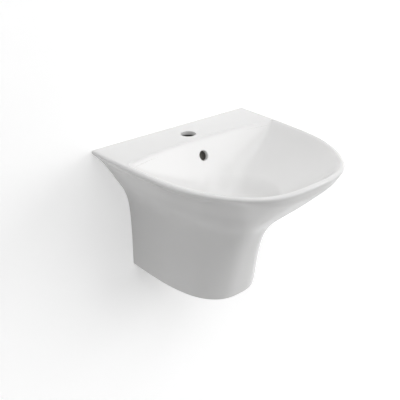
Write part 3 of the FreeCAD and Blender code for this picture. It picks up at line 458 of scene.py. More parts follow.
def rim_line():
    """The lip's inner edge in plan."""
    level = np.array(skirt_level(0, 1, 1, LIP_WIDTH))
    return cubic_basis(len(level), np.linspace(0, 1, RIM_POINTS)) @ level[:, :2]


INNER_RIM = Around(rim_line(), BOWL_Y)


def mouth_line():
    """The bowl's mouth in plan: the deck's front edge, rounded corners, then the lip's inner edge."""
    rim = rim_line()
    rim = rim[(rim[:, 0] >= 0) & (-rim[:, 1] > deck_edge(rim[:, 0]))]
    corner = rim[0]
    start = np.array([corner[0] - DECK_CORNER_ROUND, -deck_edge(corner[0] - DECK_CORNER_ROUND)])
    rest = rim[rim[:, 1] < corner[1] - DECK_CORNER_ROUND]
    t = np.linspace(0, 1, CORNER_POINTS)[1:-1, None]
    turn = (1 - t) ** 2 * start + 2 * t * (1 - t) * corner + t * t * rest[0]
    x = np.linspace(0, start[0], DECK_EDGE_POINTS)
    half = np.vstack([np.column_stack([x, -deck_edge(x)]), turn, rest])
    other = half[half[:, 0] > 0][::-1] * (-1, 1)
    return np.vstack([half, other])


def bowl_drop(x, y):
    """Depth of the bowl's surface below the rim."""
    soft = DECK_EDGE_ROUND / WIDTH * 2
    share = np.hypot(x, y - BOWL_Y) / INNER_RIM(np.arctan2(y - BOWL_Y, x))
    inward = np.sqrt(np.maximum(1 - share, 0) ** 2 + soft ** 2) - soft
    side = BOWL_SLOPE_DEPTH * inward + BOWL_WALL_DEPTH * (1 - (1 - inward) ** BOWL_WALL_POWER)
    forward = np.maximum(-y - deck_edge(x), 0)
    back = BACK_WALL_STEEPNESS * (np.sqrt(forward ** 2 + DECK_EDGE_ROUND ** 2) - DECK_EDGE_ROUND)
    low = np.minimum(side, back)
    side, back = np.maximum(side, TINY), np.maximum(back, TINY)
    both = (side ** -VALLEY_SHARPNESS + back ** -VALLEY_SHARPNESS) ** (-1 / VALLEY_SHARPNESS)
    both = np.where(low < TINY, 0, both)
    t = np.clip((np.hypot(x, y - DRAIN_Y) - SEAT_RADIUS) / SEAT_BLEND, 0, 1)
    near_seat = 1 - t * t * (3 - 2 * t)
    return both + (SEAT_DEPTH - both) * near_seat


HOLE_RING_SHARES = (0.2, 0.4, 0.6, 0.8, 0.95, 1.0)
HOLE_ROUND_STEPS = 7


def hole_rings(shell, loop, centre, across, up, inward, surface, radius, rounding, depth):
    """Fills the grid from a loop of indices to a round hole with a rounded edge, and closes its far end."""
    centre, across, up, inward = (np.array(v, float) for v in (centre, across, up, inward))
    away = shell.points[loop] - centre
    edge = np.column_stack([away @ across, away @ up])
    first = math.atan2(edge[0, 1], edge[0, 0])
    turn = math.atan2(edge[1, 1], edge[1, 0]) - first
    sign = 1 if (turn + math.pi) % (2 * math.pi) - math.pi > 0 else -1
    angle = first + sign * 2 * math.pi * np.arange(len(loop)) / len(loop)
    circle = np.column_stack([np.cos(angle), np.sin(angle)])
    last = loop
    for share in HOLE_RING_SHARES:
        flat = edge + (circle * (radius + rounding) - edge) * share
        row = shell.add(surface(centre + flat[:, :1] * across + flat[:, 1:] * up))
        shell.strip(last, row)
        last = row
    for a in np.linspace(0, math.pi / 2, HOLE_ROUND_STEPS)[1:]:
        flat = circle * (radius + rounding * (1 - math.sin(a)))
        on = surface(centre + flat[:, :1] * across + flat[:, 1:] * up)
        row = shell.add(on + inward * rounding * (1 - math.cos(a)))
        shell.strip(last, row)
        last = row
    flat = circle * radius
    row = shell.add(centre + flat[:, :1] * across + flat[:, 1:] * up + inward * depth)
    shell.strip(last, row)
    shell.faces.append(tuple(row))


def on_bowl(points, along):
    """Points moved along a direction until they lie on the bowl's surface."""
    for _ in range(SOLVE_ROUNDS):
        gap = points[:, 2] - (RIM_Z - bowl_drop(points[:, 0], points[:, 1]))
        step = points + along * PROBE
        slope = (step[:, 2] - (RIM_Z - bowl_drop(step[:, 0], step[:, 1])) - gap) / PROBE
        points = points - along * (gap / slope)[:, None]
    return points


def block(rows, first_row, last_row, first_column, last_column):
    """The loop of indices round a block of a grid."""
    top = [rows[first_row][c] for c in range(first_column, last_column)]
    right = [rows[r][last_column] for r in range(first_row, last_row)]
    bottom = [rows[last_row][c] for c in range(last_column, first_column, -1)]
    left = [rows[r][first_column] for r in range(last_row, first_row, -1)]
    return top + right + bottom + left


SKIRT_COLUMNS, WALL_COLUMNS = 271, 101
DECK_ROWS = [0.004, 0.06, 0.13, 0.2, 0.27, 0.34, 0.41, 0.48, 0.55, 0.62, 0.69, 0.76, 0.83,
             0.90, 0.95, 0.985, 1.0]  # shares of the way from the outer edge to the mouth
LIP_SPANS, FOOT_SPANS = 3, 1.5  # spline spans taken up by the lip and by the foot
LIP_ROWS, SKIRT_ROWS, FOOT_ROWS = 19, 50, 11
BOWL_ROW_COUNT, BOWL_ROW_SPREAD = 58, 1.5
UNDERSIDE_ROWS, UNDERSIDE_COLUMNS, UNDERSIDE_SPREAD = 41, 181, 1.3
TAP_BLOCK, OVERFLOW_BLOCK = 27.0, 18.5  # half sizes of the squares left open for the holes
SEAT_RING, DRAIN_RING, DRAIN_ROUND_STEPS = 29.0, 0.3, 6
OVERFLOW_LEAN = math.hypot(1, BACK_WALL_STEEPNESS)
OVERFLOW_INWARD = (0, BACK_WALL_STEEPNESS / OVERFLOW_LEAN, -1 / OVERFLOW_LEAN)
OVERFLOW_UP = (0, 1 / OVERFLOW_LEAN, BACK_WALL_STEEPNESS / OVERFLOW_LEAN)
OVERFLOW_RUN = back_wall_run(OVERFLOW_DROP)


def outside():
    """The basin as a solid with no hollow: skin, deck and bowl, with pits for the three holes."""
    shell = Shell()
    v = even_columns(SKIRT_COLUMNS)
    spans = len(skirt_rows(0)) - 3
    u = np.concatenate([np.linspace(0, LIP_SPANS, LIP_ROWS),
                        np.linspace(LIP_SPANS, spans - FOOT_SPANS, SKIRT_ROWS)[1:],
                        np.linspace(spans - FOOT_SPANS, spans, FOOT_ROWS)[1:]]) / spans
    skin = skirt_points(0, u, v)
    wall_x = np.linspace(skin[0, -1, 0], skin[0, 0, 0], WALL_COLUMNS)[1:-1]
    wall = np.column_stack([wall_x, np.zeros_like(wall_x), np.full_like(wall_x, RIM_Z)])
    outer = np.vstack([skin[0], wall])
    angle = np.arctan2(outer[:, 1] - DRAIN_Y, outer[:, 0])
    direction = np.column_stack([np.cos(angle), np.sin(angle)])
    mouth = Around(mouth_line(), DRAIN_Y)(angle)
    edge = np.hypot(outer[:, 0], outer[:, 1] - DRAIN_Y)

    def loop(radius, z=None):
        x, y = direction[:, 0] * radius, DRAIN_Y + direction[:, 1] * radius
        return np.column_stack([x, y, np.full_like(x, RIM_Z) if z is None else z])

    rows = [shell.add(outer)]
    rows += [shell.add(loop(edge + (mouth - edge) * share)) for share in DECK_ROWS]
    deck_rows = len(rows)
    for j in range(1, BOWL_ROW_COUNT + 1):
        share = 1 - (j / BOWL_ROW_COUNT) ** BOWL_ROW_SPREAD
        radius = SEAT_RADIUS + (mouth - SEAT_RADIUS) * share
        x, y = direction[:, 0] * radius, DRAIN_Y + direction[:, 1] * radius
        rows.append(shell.add(np.column_stack([x, y, RIM_Z - bowl_drop(x, y)])))

    def covered(centre, half, low, high):
        """Rows and columns of the grid that enclose a square about a hole."""
        columns, lines = [], []
        for r in range(low, high):
            near = shell.points[rows[r]]
            inside = np.abs(near - centre).max(axis=1) < half
            if inside.any():
                lines.append(r)
                columns += list(np.nonzero(inside)[0])
        return min(lines), max(lines), min(columns), max(columns)

    overflow = np.array([0, -DECK_DEPTH_MIDDLE - OVERFLOW_RUN, RIM_Z - OVERFLOW_DROP])
    tap = np.array([0, TAP_HOLE_Y, RIM_Z])
    tap_block = covered(tap, TAP_BLOCK, 0, deck_rows)
    overflow_block = covered(overflow, OVERFLOW_BLOCK, deck_rows, len(rows))
    for r in range(len(rows) - 1):
        skip = set()
        for first_row, last_row, first_column, last_column in (tap_block, overflow_block):
            if first_row <= r < last_row:
                skip |= set(range(first_column, last_column))
        shell.strip(rows[r], rows[r + 1], skip=skip)
    hole_rings(shell, block(rows, *tap_block), tap, (1, 0, 0), (0, 1, 0), (0, 0, -1),
               lambda p: p, TAP_HOLE_RADIUS, TAP_HOLE_ROUND, DECK_THICKNESS + CUT_PAST)
    inward = np.array(OVERFLOW_INWARD)
    hole_rings(shell, block(rows, *overflow_block), overflow, (1, 0, 0), OVERFLOW_UP, OVERFLOW_INWARD,
               lambda p: on_bowl(p, inward), OVERFLOW_RADIUS, OVERFLOW_ROUND, BOWL_WALL + CHANNEL_GAP / 2)

    last = rows[-1]
    steps = [(SEAT_RING, 0.0), (DRAIN_RADIUS + DRAIN_ROUND + DRAIN_RING, 0.0)]
    steps += [(DRAIN_RADIUS + DRAIN_ROUND * (1 - math.sin(a)), DRAIN_ROUND * (1 - math.cos(a)))
              for a in np.linspace(0, math.pi / 2, DRAIN_ROUND_STEPS)]
    steps += [(DRAIN_RADIUS, BOSS_HEIGHT + CUT_PAST)]
    for radius, drop in steps:
        row = shell.add(loop(radius, np.full(len(angle), SEAT_Z - drop)))
        shell.strip(last, row)
        last = row
    shell.faces.append(tuple(last))

    skirt = [rows[0][:SKIRT_COLUMNS]] + [shell.add(row) for row in skin[1:]]
    for a, b in zip(skirt, skirt[1:]):
        shell.strip(a, b, closed=False)
    shell.faces.append(tuple(skirt[-1]))
    left, right = [row[-1] for row in skirt], [row[0] for row in skirt]
    shell.faces.append(tuple(left[::-1] + rows[0][SKIRT_COLUMNS:] + right))
    return shell.mesh("glazed_basin")


def hollow_space():
    """The space inside the skirt, run out past the wall plane."""
    shell = Shell()
    v, u = np.linspace(0, 1, HOLLOW_COLUMNS), np.linspace(0, 1, HOLLOW_ROWS)
    grid = skirt_points(SKIRT_WALL, u, v)
    out = np.array([0, SKIRT_WALL, 0])
    rows = [shell.add(np.vstack([row[0] + out, row, row[-1] + out])) for row in grid]
    for a, b in zip(rows, rows[1:]):
        shell.strip(a, b, closed=False)
    back = [row[0] for row in rows] + [row[-1] for row in rows[::-1]]
    shell.faces += [tuple(rows[0]), tuple(rows[-1]), tuple(back)]
    return shell.mesh("hollow", True)


def bowl_block():
    """The bowl with its wall round it."""
    shell = Shell()
    angle = np.linspace(-math.pi, math.pi, UNDERSIDE_COLUMNS)[:-1]
    mouth = Around(mouth_line(), DRAIN_Y)(angle)
    rows = []
    for share in 1 - np.linspace(0, 1, UNDERSIDE_ROWS) ** UNDERSIDE_SPREAD:
        radius = SEAT_RADIUS + (mouth - SEAT_RADIUS) * share
        x, y = np.cos(angle) * radius, DRAIN_Y + np.sin(angle) * radius
        drop = bowl_drop(x, y)
        rows.append(shell.add(np.column_stack([x + np.cos(angle) * BOWL_WALL, y + np.sin(angle) * BOWL_WALL,
                                               RIM_Z - drop - BOWL_WALL])))
    shell.tube(rows)
    return shell.mesh("bowl_block", True)


def behind_back_wall(behind):
    """Points (y, z) at x = 0 behind the bowl's back wall and under its floor."""
    points = []
    for drop in (CHANNEL_TOP, CHANNEL_BEND):
        y = -DECK_DEPTH_MIDDLE - back_wall_run(drop) + behind * BACK_WALL_STEEPNESS / OVERFLOW_LEAN
        points.append((y, RIM_Z - drop - behind / OVERFLOW_LEAN))
    return points + [(DRAIN_Y + SEAT_RADIUS + 1.5 * BOWL_WALL, SEAT_Z - behind), (DRAIN_Y, SEAT_Z - behind)]


def channel_tool(near, far, half_width):
    outline = behind_back_wall(far) + behind_back_wall(near)[::-1]
    shell = Shell()
    rows = [shell.add([(x, y, z) for y, z in outline]) for x in (-half_width, half_width)]
    shell.tube(rows)
    return shell.mesh("tool", True)


def basin():
    hollow = hollow_space()
    carved(hollow, box_tool((-WIDTH, -PANEL_THICKNESS, RIM_Z - PANEL_HEIGHT), (WIDTH, 2 * SKIRT_WALL, RIM_Z)),
           "DIFFERENCE")
    carved(hollow, bowl_block(), "DIFFERENCE")
    carved(hollow, round_tool(BOSS_RADIUS, (0, DRAIN_Y, BOSS_Z), (0, DRAIN_Y, SEAT_Z)), "DIFFERENCE")
    carved(hollow, channel_tool(BOWL_WALL / 2, 2 * BOWL_WALL + CHANNEL_GAP, CHANNEL_WIDTH / 2 + BOWL_WALL),
           "DIFFERENCE")
    body = carved(outside(), hollow, "DIFFERENCE")
    carved(body, channel_tool(BOWL_WALL, BOWL_WALL + CHANNEL_GAP, CHANNEL_WIDTH / 2), "DIFFERENCE")
    for x in (-FIXING_X, FIXING_X):
        hole = round_tool(FIXING_HOLE_RADIUS, (x, -2 * PANEL_THICKNESS, 0), (x, SKIRT_WALL, 0))
        carved(body, hole, "DIFFERENCE")
    # Marks the faces from the hollow; they get the unglazed colour, painted dark as shade.
    bare_and_shaded = body.data.attributes.new("unglazed", "FLOAT", "CORNER")
    bare_and_shaded.data.foreach_set("value", [float(face.material_index) for face in body.data.polygons
                                    for _ in face.loop_indices])
    finished(body, "ceramic", "basin", "basin_body")


def finished(thing, slot, body, *nodes, sharp=35):
    """Smooth shading, material, body and the CAD nodes that the piece stands for."""
    data = thing.data
    data.materials.clear()
    data.materials.append(FINISHES[slot])
    data.polygons.foreach_set("use_smooth", [True] * len(data.polygons))
    data.polygons.foreach_set("material_index", [0] * len(data.polygons))
    data.set_sharp_from_angle(angle=math.radians(sharp))
    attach(thing, body)
    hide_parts(*nodes)


basin()

# ---- turned, swept and threaded pieces ----

UP, OUT_OF_WALL, INTO_WALL = (0, 0, 1), (0, -1, 0), (0, 1, 0)
ROUND_SHARE = 0.45  # of the shorter edge at a corner, the most that its rounding takes


def facing(axis):
    """The turn that brings +Z to the axis."""
    return Vector(axis).to_track_quat("Z", "Y").to_matrix()


def rounded(profile, radius, steps=3):
    """The closed profile with its corners away from the axis rounded off."""
    profile, points = np.array(profile, float), []
    for i, corner in enumerate(profile):
        if corner[0] < TINY or radius == 0:
            points.append(corner)
            continue
        before, after = profile[i - 1] - corner, profile[(i + 1) % len(profile)] - corner
        run_in, run_out = np.linalg.norm(before), np.linalg.norm(after)
        cut = min(radius, ROUND_SHARE * min(run_in, run_out))
        start, end = corner + before / run_in * cut, corner + after / run_out * cut
        points += [(1 - s) ** 2 * start + 2 * s * (1 - s) * corner + s * s * end
                   for s in np.linspace(0, 1, steps + 1)]
    return np.array(points)


def rod(radius, height):
    """The profile of a plain cylinder."""
    return [(0, 0), (radius, 0), (radius, height), (0, height)]


def turned(name, profile, base, axis=UP, rounding=0.4, count=96):
    """A closed solid of revolution from corners of (radius, height along the axis)."""
    turn = np.array(facing(axis))
    angle = 2 * math.pi * np.arange(count) / count
    shell, rows = Shell(), []
    for radius, height in rounded(profile, rounding):
        spots = 1 if radius < TINY else count
        ring = np.column_stack([radius * np.cos(angle), radius * np.sin(angle), np.full(count, height)])
        rows.append(shell.add(ring[:spots] @ turn.T + np.array(base)))
    for a, b in zip(rows, rows[1:] + rows[:1]):
        if len(a) == len(b) == count:
            shell.strip(a, b)
        elif len(a) + len(b) > 2:
            pole, ring = (a[0], b) if len(a) == 1 else (b[0], a)
            shell.faces += [(ring[i], ring[(i + 1) % count], pole) for i in range(count)]
    return shell.mesh(name)


def swept(name, runs, radius, count=64):
    """A round bar along a line in the plane x = 0, given as points (y, z) with their headings."""
    angle = 2 * math.pi * np.arange(count) / count
    shell, rows = Shell(), []
    for y, z, heading in runs:
        side = np.array([0, -math.sin(heading), math.cos(heading)])
        rows.append(shell.add(np.array([0, y, z]) + radius * (np.outer(np.cos(angle), (1, 0, 0))
                                                              + np.outer(np.sin(angle), side))))
    shell.tube(rows)
    return shell.mesh(name, True)


def arc(centre_y, centre_z, radius, first, last, turn, steps):
    """Points round a bend with the heading at each; turn is 1 for leftward bends and -1 for rightward."""
    return [(centre_y + radius * math.cos(a), centre_z + radius * math.sin(a), a + turn * math.pi / 2)
            for a in np.linspace(first, last, steps + 1)]


def moved(thing, matrix):
    thing.data.transform(matrix)
    return thing


def bevelled(thing, width):
    work = bmesh.new()
    work.from_mesh(thing.data)
    bmesh.ops.bevel(work, geom=work.edges[:], offset=width * MM, segments=3, profile=0.5, affect="EDGES")
    work.to_mesh(thing.data)
    work.free()
    return thing


def together(name, things):
    """Separate closed solids gathered in one object."""
    work = bmesh.new()
    for thing in things:
        work.from_mesh(thing.data)
        bpy.data.objects.remove(thing)
    data = bpy.data.meshes.new(name)
    work.to_mesh(data)
    work.free()
    gathered = bpy.data.objects.new(name, data)
    bpy.context.scene.collection.objects.link(gathered)
    return gathered


def tree_of(name, inputs):
    """An empty node tree with named inputs and one geometry output, and a maker of its nodes."""
    tree = bpy.data.node_groups.new(name, "GeometryNodeTree")
    for label, kind in inputs.items():
        tree.interface.new_socket(label, in_out="INPUT", socket_type="NodeSocket" + kind)
    tree.interface.new_socket("Geometry", in_out="OUTPUT", socket_type="NodeSocketGeometry")
    given = tree.nodes.new("NodeGroupInput")

    def make(kind, settings, links):
        node = tree.nodes.new(kind)
        for key, value in settings.items():
            setattr(node, key, value)
        for label, value in links.items():
            if isinstance(value, str):
                tree.links.new(given.outputs[value], node.inputs[label])
            elif isinstance(value, bpy.types.NodeSocket):
                tree.links.new(value, node.inputs[label])
            else:
                node.inputs[label].default_value = value
        return node.outputs[0]

    def finish(geometry):
        real = make("GeometryNodeRealizeInstances", {}, {"Geometry": geometry})
        painted = make("GeometryNodeSetMaterial", {}, {"Geometry": real, "Material": "Material"})
        output = tree.nodes.new("NodeGroupOutput")
        tree.links.new(painted, output.inputs["Geometry"])
        return tree

    return make, finish


def ridge_tree():
    """A bar wound round an axis: square for a thread's ridge, with more sides for spring wire."""
    make, finish = tree_of("wound ridge", {"Turns": "Float", "Radius": "Float", "Length": "Float",
                                           "Ridge": "Float", "Sides": "Int", "Material": "Material"})
    line = make("GeometryNodeCurveSpiral", {}, {"Resolution": TURN_STEPS, "Rotations": "Turns",
                                                "Height": "Length", "Start Radius": "Radius",
                                                "End Radius": "Radius"})
    upright = make("GeometryNodeSetCurveNormal", {"mode": "Z_UP"}, {"Curve": line})
    section = make("GeometryNodeCurvePrimitiveCircle", {"mode": "RADIUS"},
                   {"Resolution": "Sides", "Radius": "Ridge"})
    return finish(make("GeometryNodeCurveToMesh", {}, {"Curve": upright, "Profile Curve": section,
                                                       "Fill Caps": True}))


def grip_tree():
    """Upright round ribs spaced evenly on a circle, for hand-turned nuts."""
    make, finish = tree_of("grip ribs", {"Count": "Int", "Radius": "Float", "Rib": "Float", "Length": "Float",
                                         "Material": "Material"})
    ring = make("GeometryNodeMeshCircle", {}, {"Vertices": "Count", "Radius": "Radius"})
    rib = make("GeometryNodeMeshCylinder", {}, {"Vertices": RIB_SIDES, "Radius": "Rib", "Depth": "Length"})
    return finish(make("GeometryNodeInstanceOnPoints", {}, {"Points": ring, "Instance": rib}))


RIDGES, GRIPS = ridge_tree(), grip_tree()


def grown(tree, inputs, place, axis=UP):
    """The tree's geometry as a plain mesh, set on the place and along the axis."""
    thing = bpy.data.objects.new("grown", bpy.data.meshes.new("grown"))
    bpy.context.scene.collection.objects.link(thing)
    modifier = thing.modifiers.new("grow", "NODES")
    modifier.node_group = tree
    for socket in tree.interface.items_tree:
        if socket.in_out == "INPUT":
            modifier[socket.identifier] = inputs[socket.name]
    graph = bpy.context.evaluated_depsgraph_get()
    data = bpy.data.meshes.new_from_object(thing.evaluated_get(graph))
    thing.modifiers.clear()
    thing.data = data
    turn = facing(axis).to_4x4()
    return moved(thing, Matrix.Translation(Vector(place) * MM) @ turn)


def threaded(core, slot, radius, pitch, ridge, place, length, axis=UP):
    """The core with a thread from the place along the axis, its crests at the radius."""
    ridges = grown(RIDGES, {"Turns": length / pitch, "Radius": (radius - ridge) * MM, "Length": length * MM,
                            "Ridge": ridge * MM, "Sides": THREAD_SIDES, "Material": FINISHES[slot]},
                   place, axis)
    return carved(core, ridges, "UNION")


def hex_nut(name, across, height, bore, base, axis=UP, chamfer=0.07):
    corner, edge = across / math.sqrt(3), chamfer * across
    past, land = corner + CHAMFER_PAST, across / 2 - CHAMFER_LAND
    nut = turned(name, [(0, 0), (land, 0), (past, edge), (past, height - edge), (land, height), (0, height)],
                 base, axis, 0)
    turn = np.array(facing(axis))
    prism = Shell()
    rows = [prism.add(np.array([(corner * math.cos(a), corner * math.sin(a), h)
                                for a in (math.pi / 3 * i for i in range(6))]) @ turn.T + np.array(base))
            for h in (-CUT_PAST, height + CUT_PAST)]
    prism.tube(rows)
    carved(nut, prism.mesh("tool"), "INTERSECT")
    near = np.array(base) - np.array(axis) * 2 * CUT_PAST
    far = np.array(base) + np.array(axis) * (height + 2 * CUT_PAST)
    return carved(nut, round_tool(bore, near, far, 64), "DIFFERENCE")


# ---- waste and plug ----

def over_drain(z):
    return (0, DRAIN_Y, z)


def waste():
    slope_end = MOUTH_RADIUS + (FLANGE_THICKNESS - THROAT_HEIGHT) * MOUTH_SLOPE
    core = TUBE_RADIUS - TUBE_THREAD_RIDGE
    body = turned("waste_tube", [(TUBE_BORE, -TUBE_LENGTH), (core, -TUBE_LENGTH), (core, -TUBE_THREAD_TOP),
                                 (TUBE_RADIUS, -TUBE_THREAD_TOP + THREAD_SHOULDER), (TUBE_RADIUS, 0),
                                 (FLANGE_RADIUS, 0), (FLANGE_RADIUS, FLANGE_THICKNESS - FLANGE_ROUND),
                                 (FLANGE_RADIUS - FLANGE_ROUND, FLANGE_THICKNESS),
                                 (slope_end, FLANGE_THICKNESS), (MOUTH_RADIUS, THROAT_HEIGHT),
                                 (TUBE_BORE, -THROAT_DEPTH)],
                  over_drain(FLANGE_Z), rounding=0.5, count=128)
    top = FLANGE_Z - SLOT_TOP
    slot = box_tool((-SLOT_WIDTH / 2, DRAIN_Y - SLOT_REACH, top - SLOT_HEIGHT),
                    (SLOT_WIDTH / 2, DRAIN_Y + SLOT_REACH, top))
    carved(body, slot, "DIFFERENCE")
    threaded(body, "chrome", TUBE_RADIUS, TUBE_THREAD_PITCH, TUBE_THREAD_RIDGE / 2 + THREAD_FIT,
             over_drain(TUBE_END_Z + THREAD_MARGIN), TUBE_LENGTH - TUBE_THREAD_TOP - 2 * THREAD_MARGIN)
    low = FLANGE_Z - BRIDGE_TOP - BRIDGE_HEIGHT
    hub = turned("hub", rod(HUB_RADIUS, BRIDGE_HEIGHT), over_drain(low))
    for i in range(BRIDGE_RIBS):
        rib = bevelled(box_tool((0, -BRIDGE_RIB / 2, low + RIB_SUNK),
                                (TUBE_BORE + CUT_PAST, BRIDGE_RIB / 2, low + BRIDGE_HEIGHT - RIB_SUNK)), 0.5)
        turn = Matrix.Rotation(math.radians(90 + 360 / BRIDGE_RIBS * i), 4, "Z")
        carved(hub, moved(rib, Matrix.Translation((0, DRAIN_Y * MM, 0)) @ turn), "UNION")
    bore = round_tool(HUB_BORE, over_drain(low - CUT_PAST), over_drain(low + BRIDGE_HEIGHT + CUT_PAST), 48)
    carved(hub, bore, "DIFFERENCE")
    carved(body, hub, "UNION")
    finished(body, "chrome", "basin", "waste_body")


def plug_top():
    angles = np.linspace(0, math.pi / 2, 25)[:-1]
    crown = [(CAP_RADIUS * math.cos(a), CAP_EDGE + CAP_CROWN * math.sin(a)) for a in angles]
    cap = turned("plug_top", [(0, 0), (CAP_RADIUS - CAP_UNDER, 0), (CAP_RADIUS, CAP_UNDER)] + crown
                 + [(0, CAP_EDGE + CAP_CROWN)], over_drain(CAP_Z), rounding=0.15, count=160)
    finished(cap, "chrome", "plug", "plug_cap")


def spring():
    """The coil that lifts the plug and shortens when it is pressed; here it is made at one length."""
    low = FLANGE_Z - BRIDGE_TOP + SPRING_START
    wire = grown(RIDGES, {"Turns": SPRING_TURNS, "Radius": SPRING_RADIUS * MM, "Length": SPRING_RISE * MM,
                          "Ridge": SPRING_WIRE / 2 * MM, "Sides": WIRE_SIDES,
                          "Material": FINISHES["spring_steel"]}, over_drain(low))
    wire.name = "lift_spring"
    finished(wire, "spring_steel", "basin", "plug_spring", sharp=60)
    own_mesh(wire)
    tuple(UP)


def waste_nut():
    low = BOSS_Z - CONE_HEIGHT - SLIP_HEIGHT - BACKNUT_HEIGHT
    nut = hex_nut("waste_locknut", BACKNUT_ACROSS, BACKNUT_HEIGHT, TUBE_RADIUS + THREAD_FIT, over_drain(low),
                  chamfer=0.03)
    finished(nut, "brass", "basin", "waste_backnut")


# ---- trap ----

def grip_nut(name, node, radius, thread, base, lip_up):
    """Hand-turned nut: a ring with round ribs and a lip that draws the pipe's collar up."""
    height, lip, bore = GRIP_NUT_HEIGHT, PIPE_RADIUS + NUT_GAP, thread + NUT_GAP
    profile = [(lip, 0), (radius, 0), (radius, height), (bore, height), (bore, NUT_LIP), (lip, NUT_LIP)]
    if lip_up:
        profile = [(r, height - h) for r, h in profile]
    nut = turned(name, profile, base, rounding=0.9)
    middle = (base[0], base[1], base[2] + height / 2)
    ribs = grown(GRIPS, {"Count": NUT_LUGS, "Radius": radius * MM, "Rib": LUG_RADIUS * MM,
                         "Length": (height - LUG_SHORT) * MM, "Material": FINISHES["white_plastic"]}, middle)
    carved(nut, ribs, "UNION")
    finished(nut, "white_plastic", "basin", node)


def trap():
    down, up = -math.pi / 2, math.pi / 2
    bend = arc(BEND_Y, BEND_Z, BEND_RADIUS, -math.pi, 0, 1, 40)

    def bar(radius, past):
        run = [(DRAIN_Y, COLLAR_Z + past, down)] + bend + [(REAR_Y, UNION_Z + past, up)]
        return swept("trap_pipe", run, radius)

    body = bar(PIPE_RADIUS, 0)
    for radius, top, height, y in ((TUBE_RADIUS - THREAD_FIT, COLLAR_Z, COLLAR_HEIGHT, DRAIN_Y),
                                   (UNION_THREAD_RADIUS, UNION_Z, NUT_OVERLAP - UNION_SHORT, REAR_Y)):
        carved(body, turned("collar", rod(radius, height), (0, y, top - height), rounding=0.5), "UNION")
    neck_run = NECK_HEIGHT + PIPE_RADIUS
    carved(body, turned("neck", rod(NECK_RADIUS, neck_run), (0, BEND_Y, CLEANOUT_Z)), "UNION")
    carved(body, bar(PIPE_BORE, CUT_PAST), "DIFFERENCE")
    bore = round_tool(NECK_BORE, (0, BEND_Y, CLEANOUT_Z - CUT_PAST), (0, BEND_Y, CLEANOUT_Z + neck_run))
    carved(body, bore, "DIFFERENCE")
    finished(body, "white_plastic", "basin", "trap_bend", sharp=50)


def outlet():
    low, elbow_y, elbow_z = UNION_Z + PIPE_WASHER, REAR_Y + ELBOW_RADIUS, OUTLET_Z - ELBOW_RADIUS
    elbow = arc(elbow_y, elbow_z, ELBOW_RADIUS, math.pi, math.pi / 2, -1, 24)

    def bar(radius, past):
        run = [(REAR_Y, low - past, math.pi / 2)] + elbow + [(OUTLET_END + past, OUTLET_Z, 0)]
        return swept("outlet_pipe", run, radius)

    body = bar(PIPE_RADIUS, 0)
    collar = rod(UNION_THREAD_RADIUS - THREAD_FIT, COLLAR_HEIGHT)
    carved(body, turned("collar", collar, (0, REAR_Y, low), rounding=0.5), "UNION")
    carved(body, bar(PIPE_BORE, CUT_PAST), "DIFFERENCE")
    deep, past = PIPE_RADIUS - MARK_DEPTH, PIPE_RADIUS + 2 * CUT_PAST
    mark = turned("mark", [(deep, 0), (past, 0), (past, MARK_WIDTH), (deep, MARK_WIDTH)],
                  (0, MARK_FROM_WALL, OUTLET_Z), INTO_WALL, 0)
    carved(body, mark, "DIFFERENCE")
    finished(body, "white_plastic", "basin", "outlet_arm", sharp=50)


def cleanout():
    bore = NECK_RADIUS + NUT_GAP
    outer, floor = bore + CLEANOUT_WALL, CLEANOUT_SEAL + CLEANOUT_WALL
    height, low = floor + CLEANOUT_OVERLAP, CLEANOUT_Z - floor
    cap = turned("cleanout_screw_cap", [(0, 0), (outer - CLEANOUT_ROUND, 0), (outer, CLEANOUT_ROUND),
                                        (outer, height), (bore, height), (bore, CLEANOUT_WALL),
                                        (0, CLEANOUT_WALL)], (0, BEND_Y, low), rounding=0.6)
    ribs = grown(GRIPS, {"Count": CLEANOUT_RIBS, "Radius": (outer - CLEANOUT_RIB) * MM,
                         "Rib": CLEANOUT_RIB * MM, "Length": (height - CLEANOUT_RIB_SHORT) * MM,
                         "Material": FINISHES["white_plastic"]}, (0, BEND_Y, low + height / 2))
    carved(cap, ribs, "UNION")
    half = outer - GRIP_INSET
    grip = bevelled(box_tool((-half, BEND_Y - GRIP_THICKNESS / 2, low - GRIP_HEIGHT),
                             (half, BEND_Y + GRIP_THICKNESS / 2, low + GRIP_SUNK)), 0.9)
    carved(cap, grip, "UNION")
    finished(cap, "white_plastic", "cleanout", "cleanout_cap")


def rosette():
    bore, t = PIPE_RADIUS + NUT_GAP, ROSETTE_WALL
    neck = ROSETTE_HEIGHT - ROSETTE_COLLAR
    cover = turned("wall_cover", [(ROSETTE_RADIUS - t, 0), (ROSETTE_RADIUS, 0), (ROSETTE_RADIUS, ROSETTE_RIM),
                                  (bore + 4 * t, neck), (bore + t, ROSETTE_HEIGHT), (bore, ROSETTE_HEIGHT),
                                  (bore, neck - t), (ROSETTE_RADIUS - t, ROSETTE_RIM)],
                   (0, -ROSETTE_GAP, OUTLET_Z), OUT_OF_WALL, 0.5, 128)
    finished(cover, "chrome", "rosette", "wall_rosette")


# ---- wall fixings ----

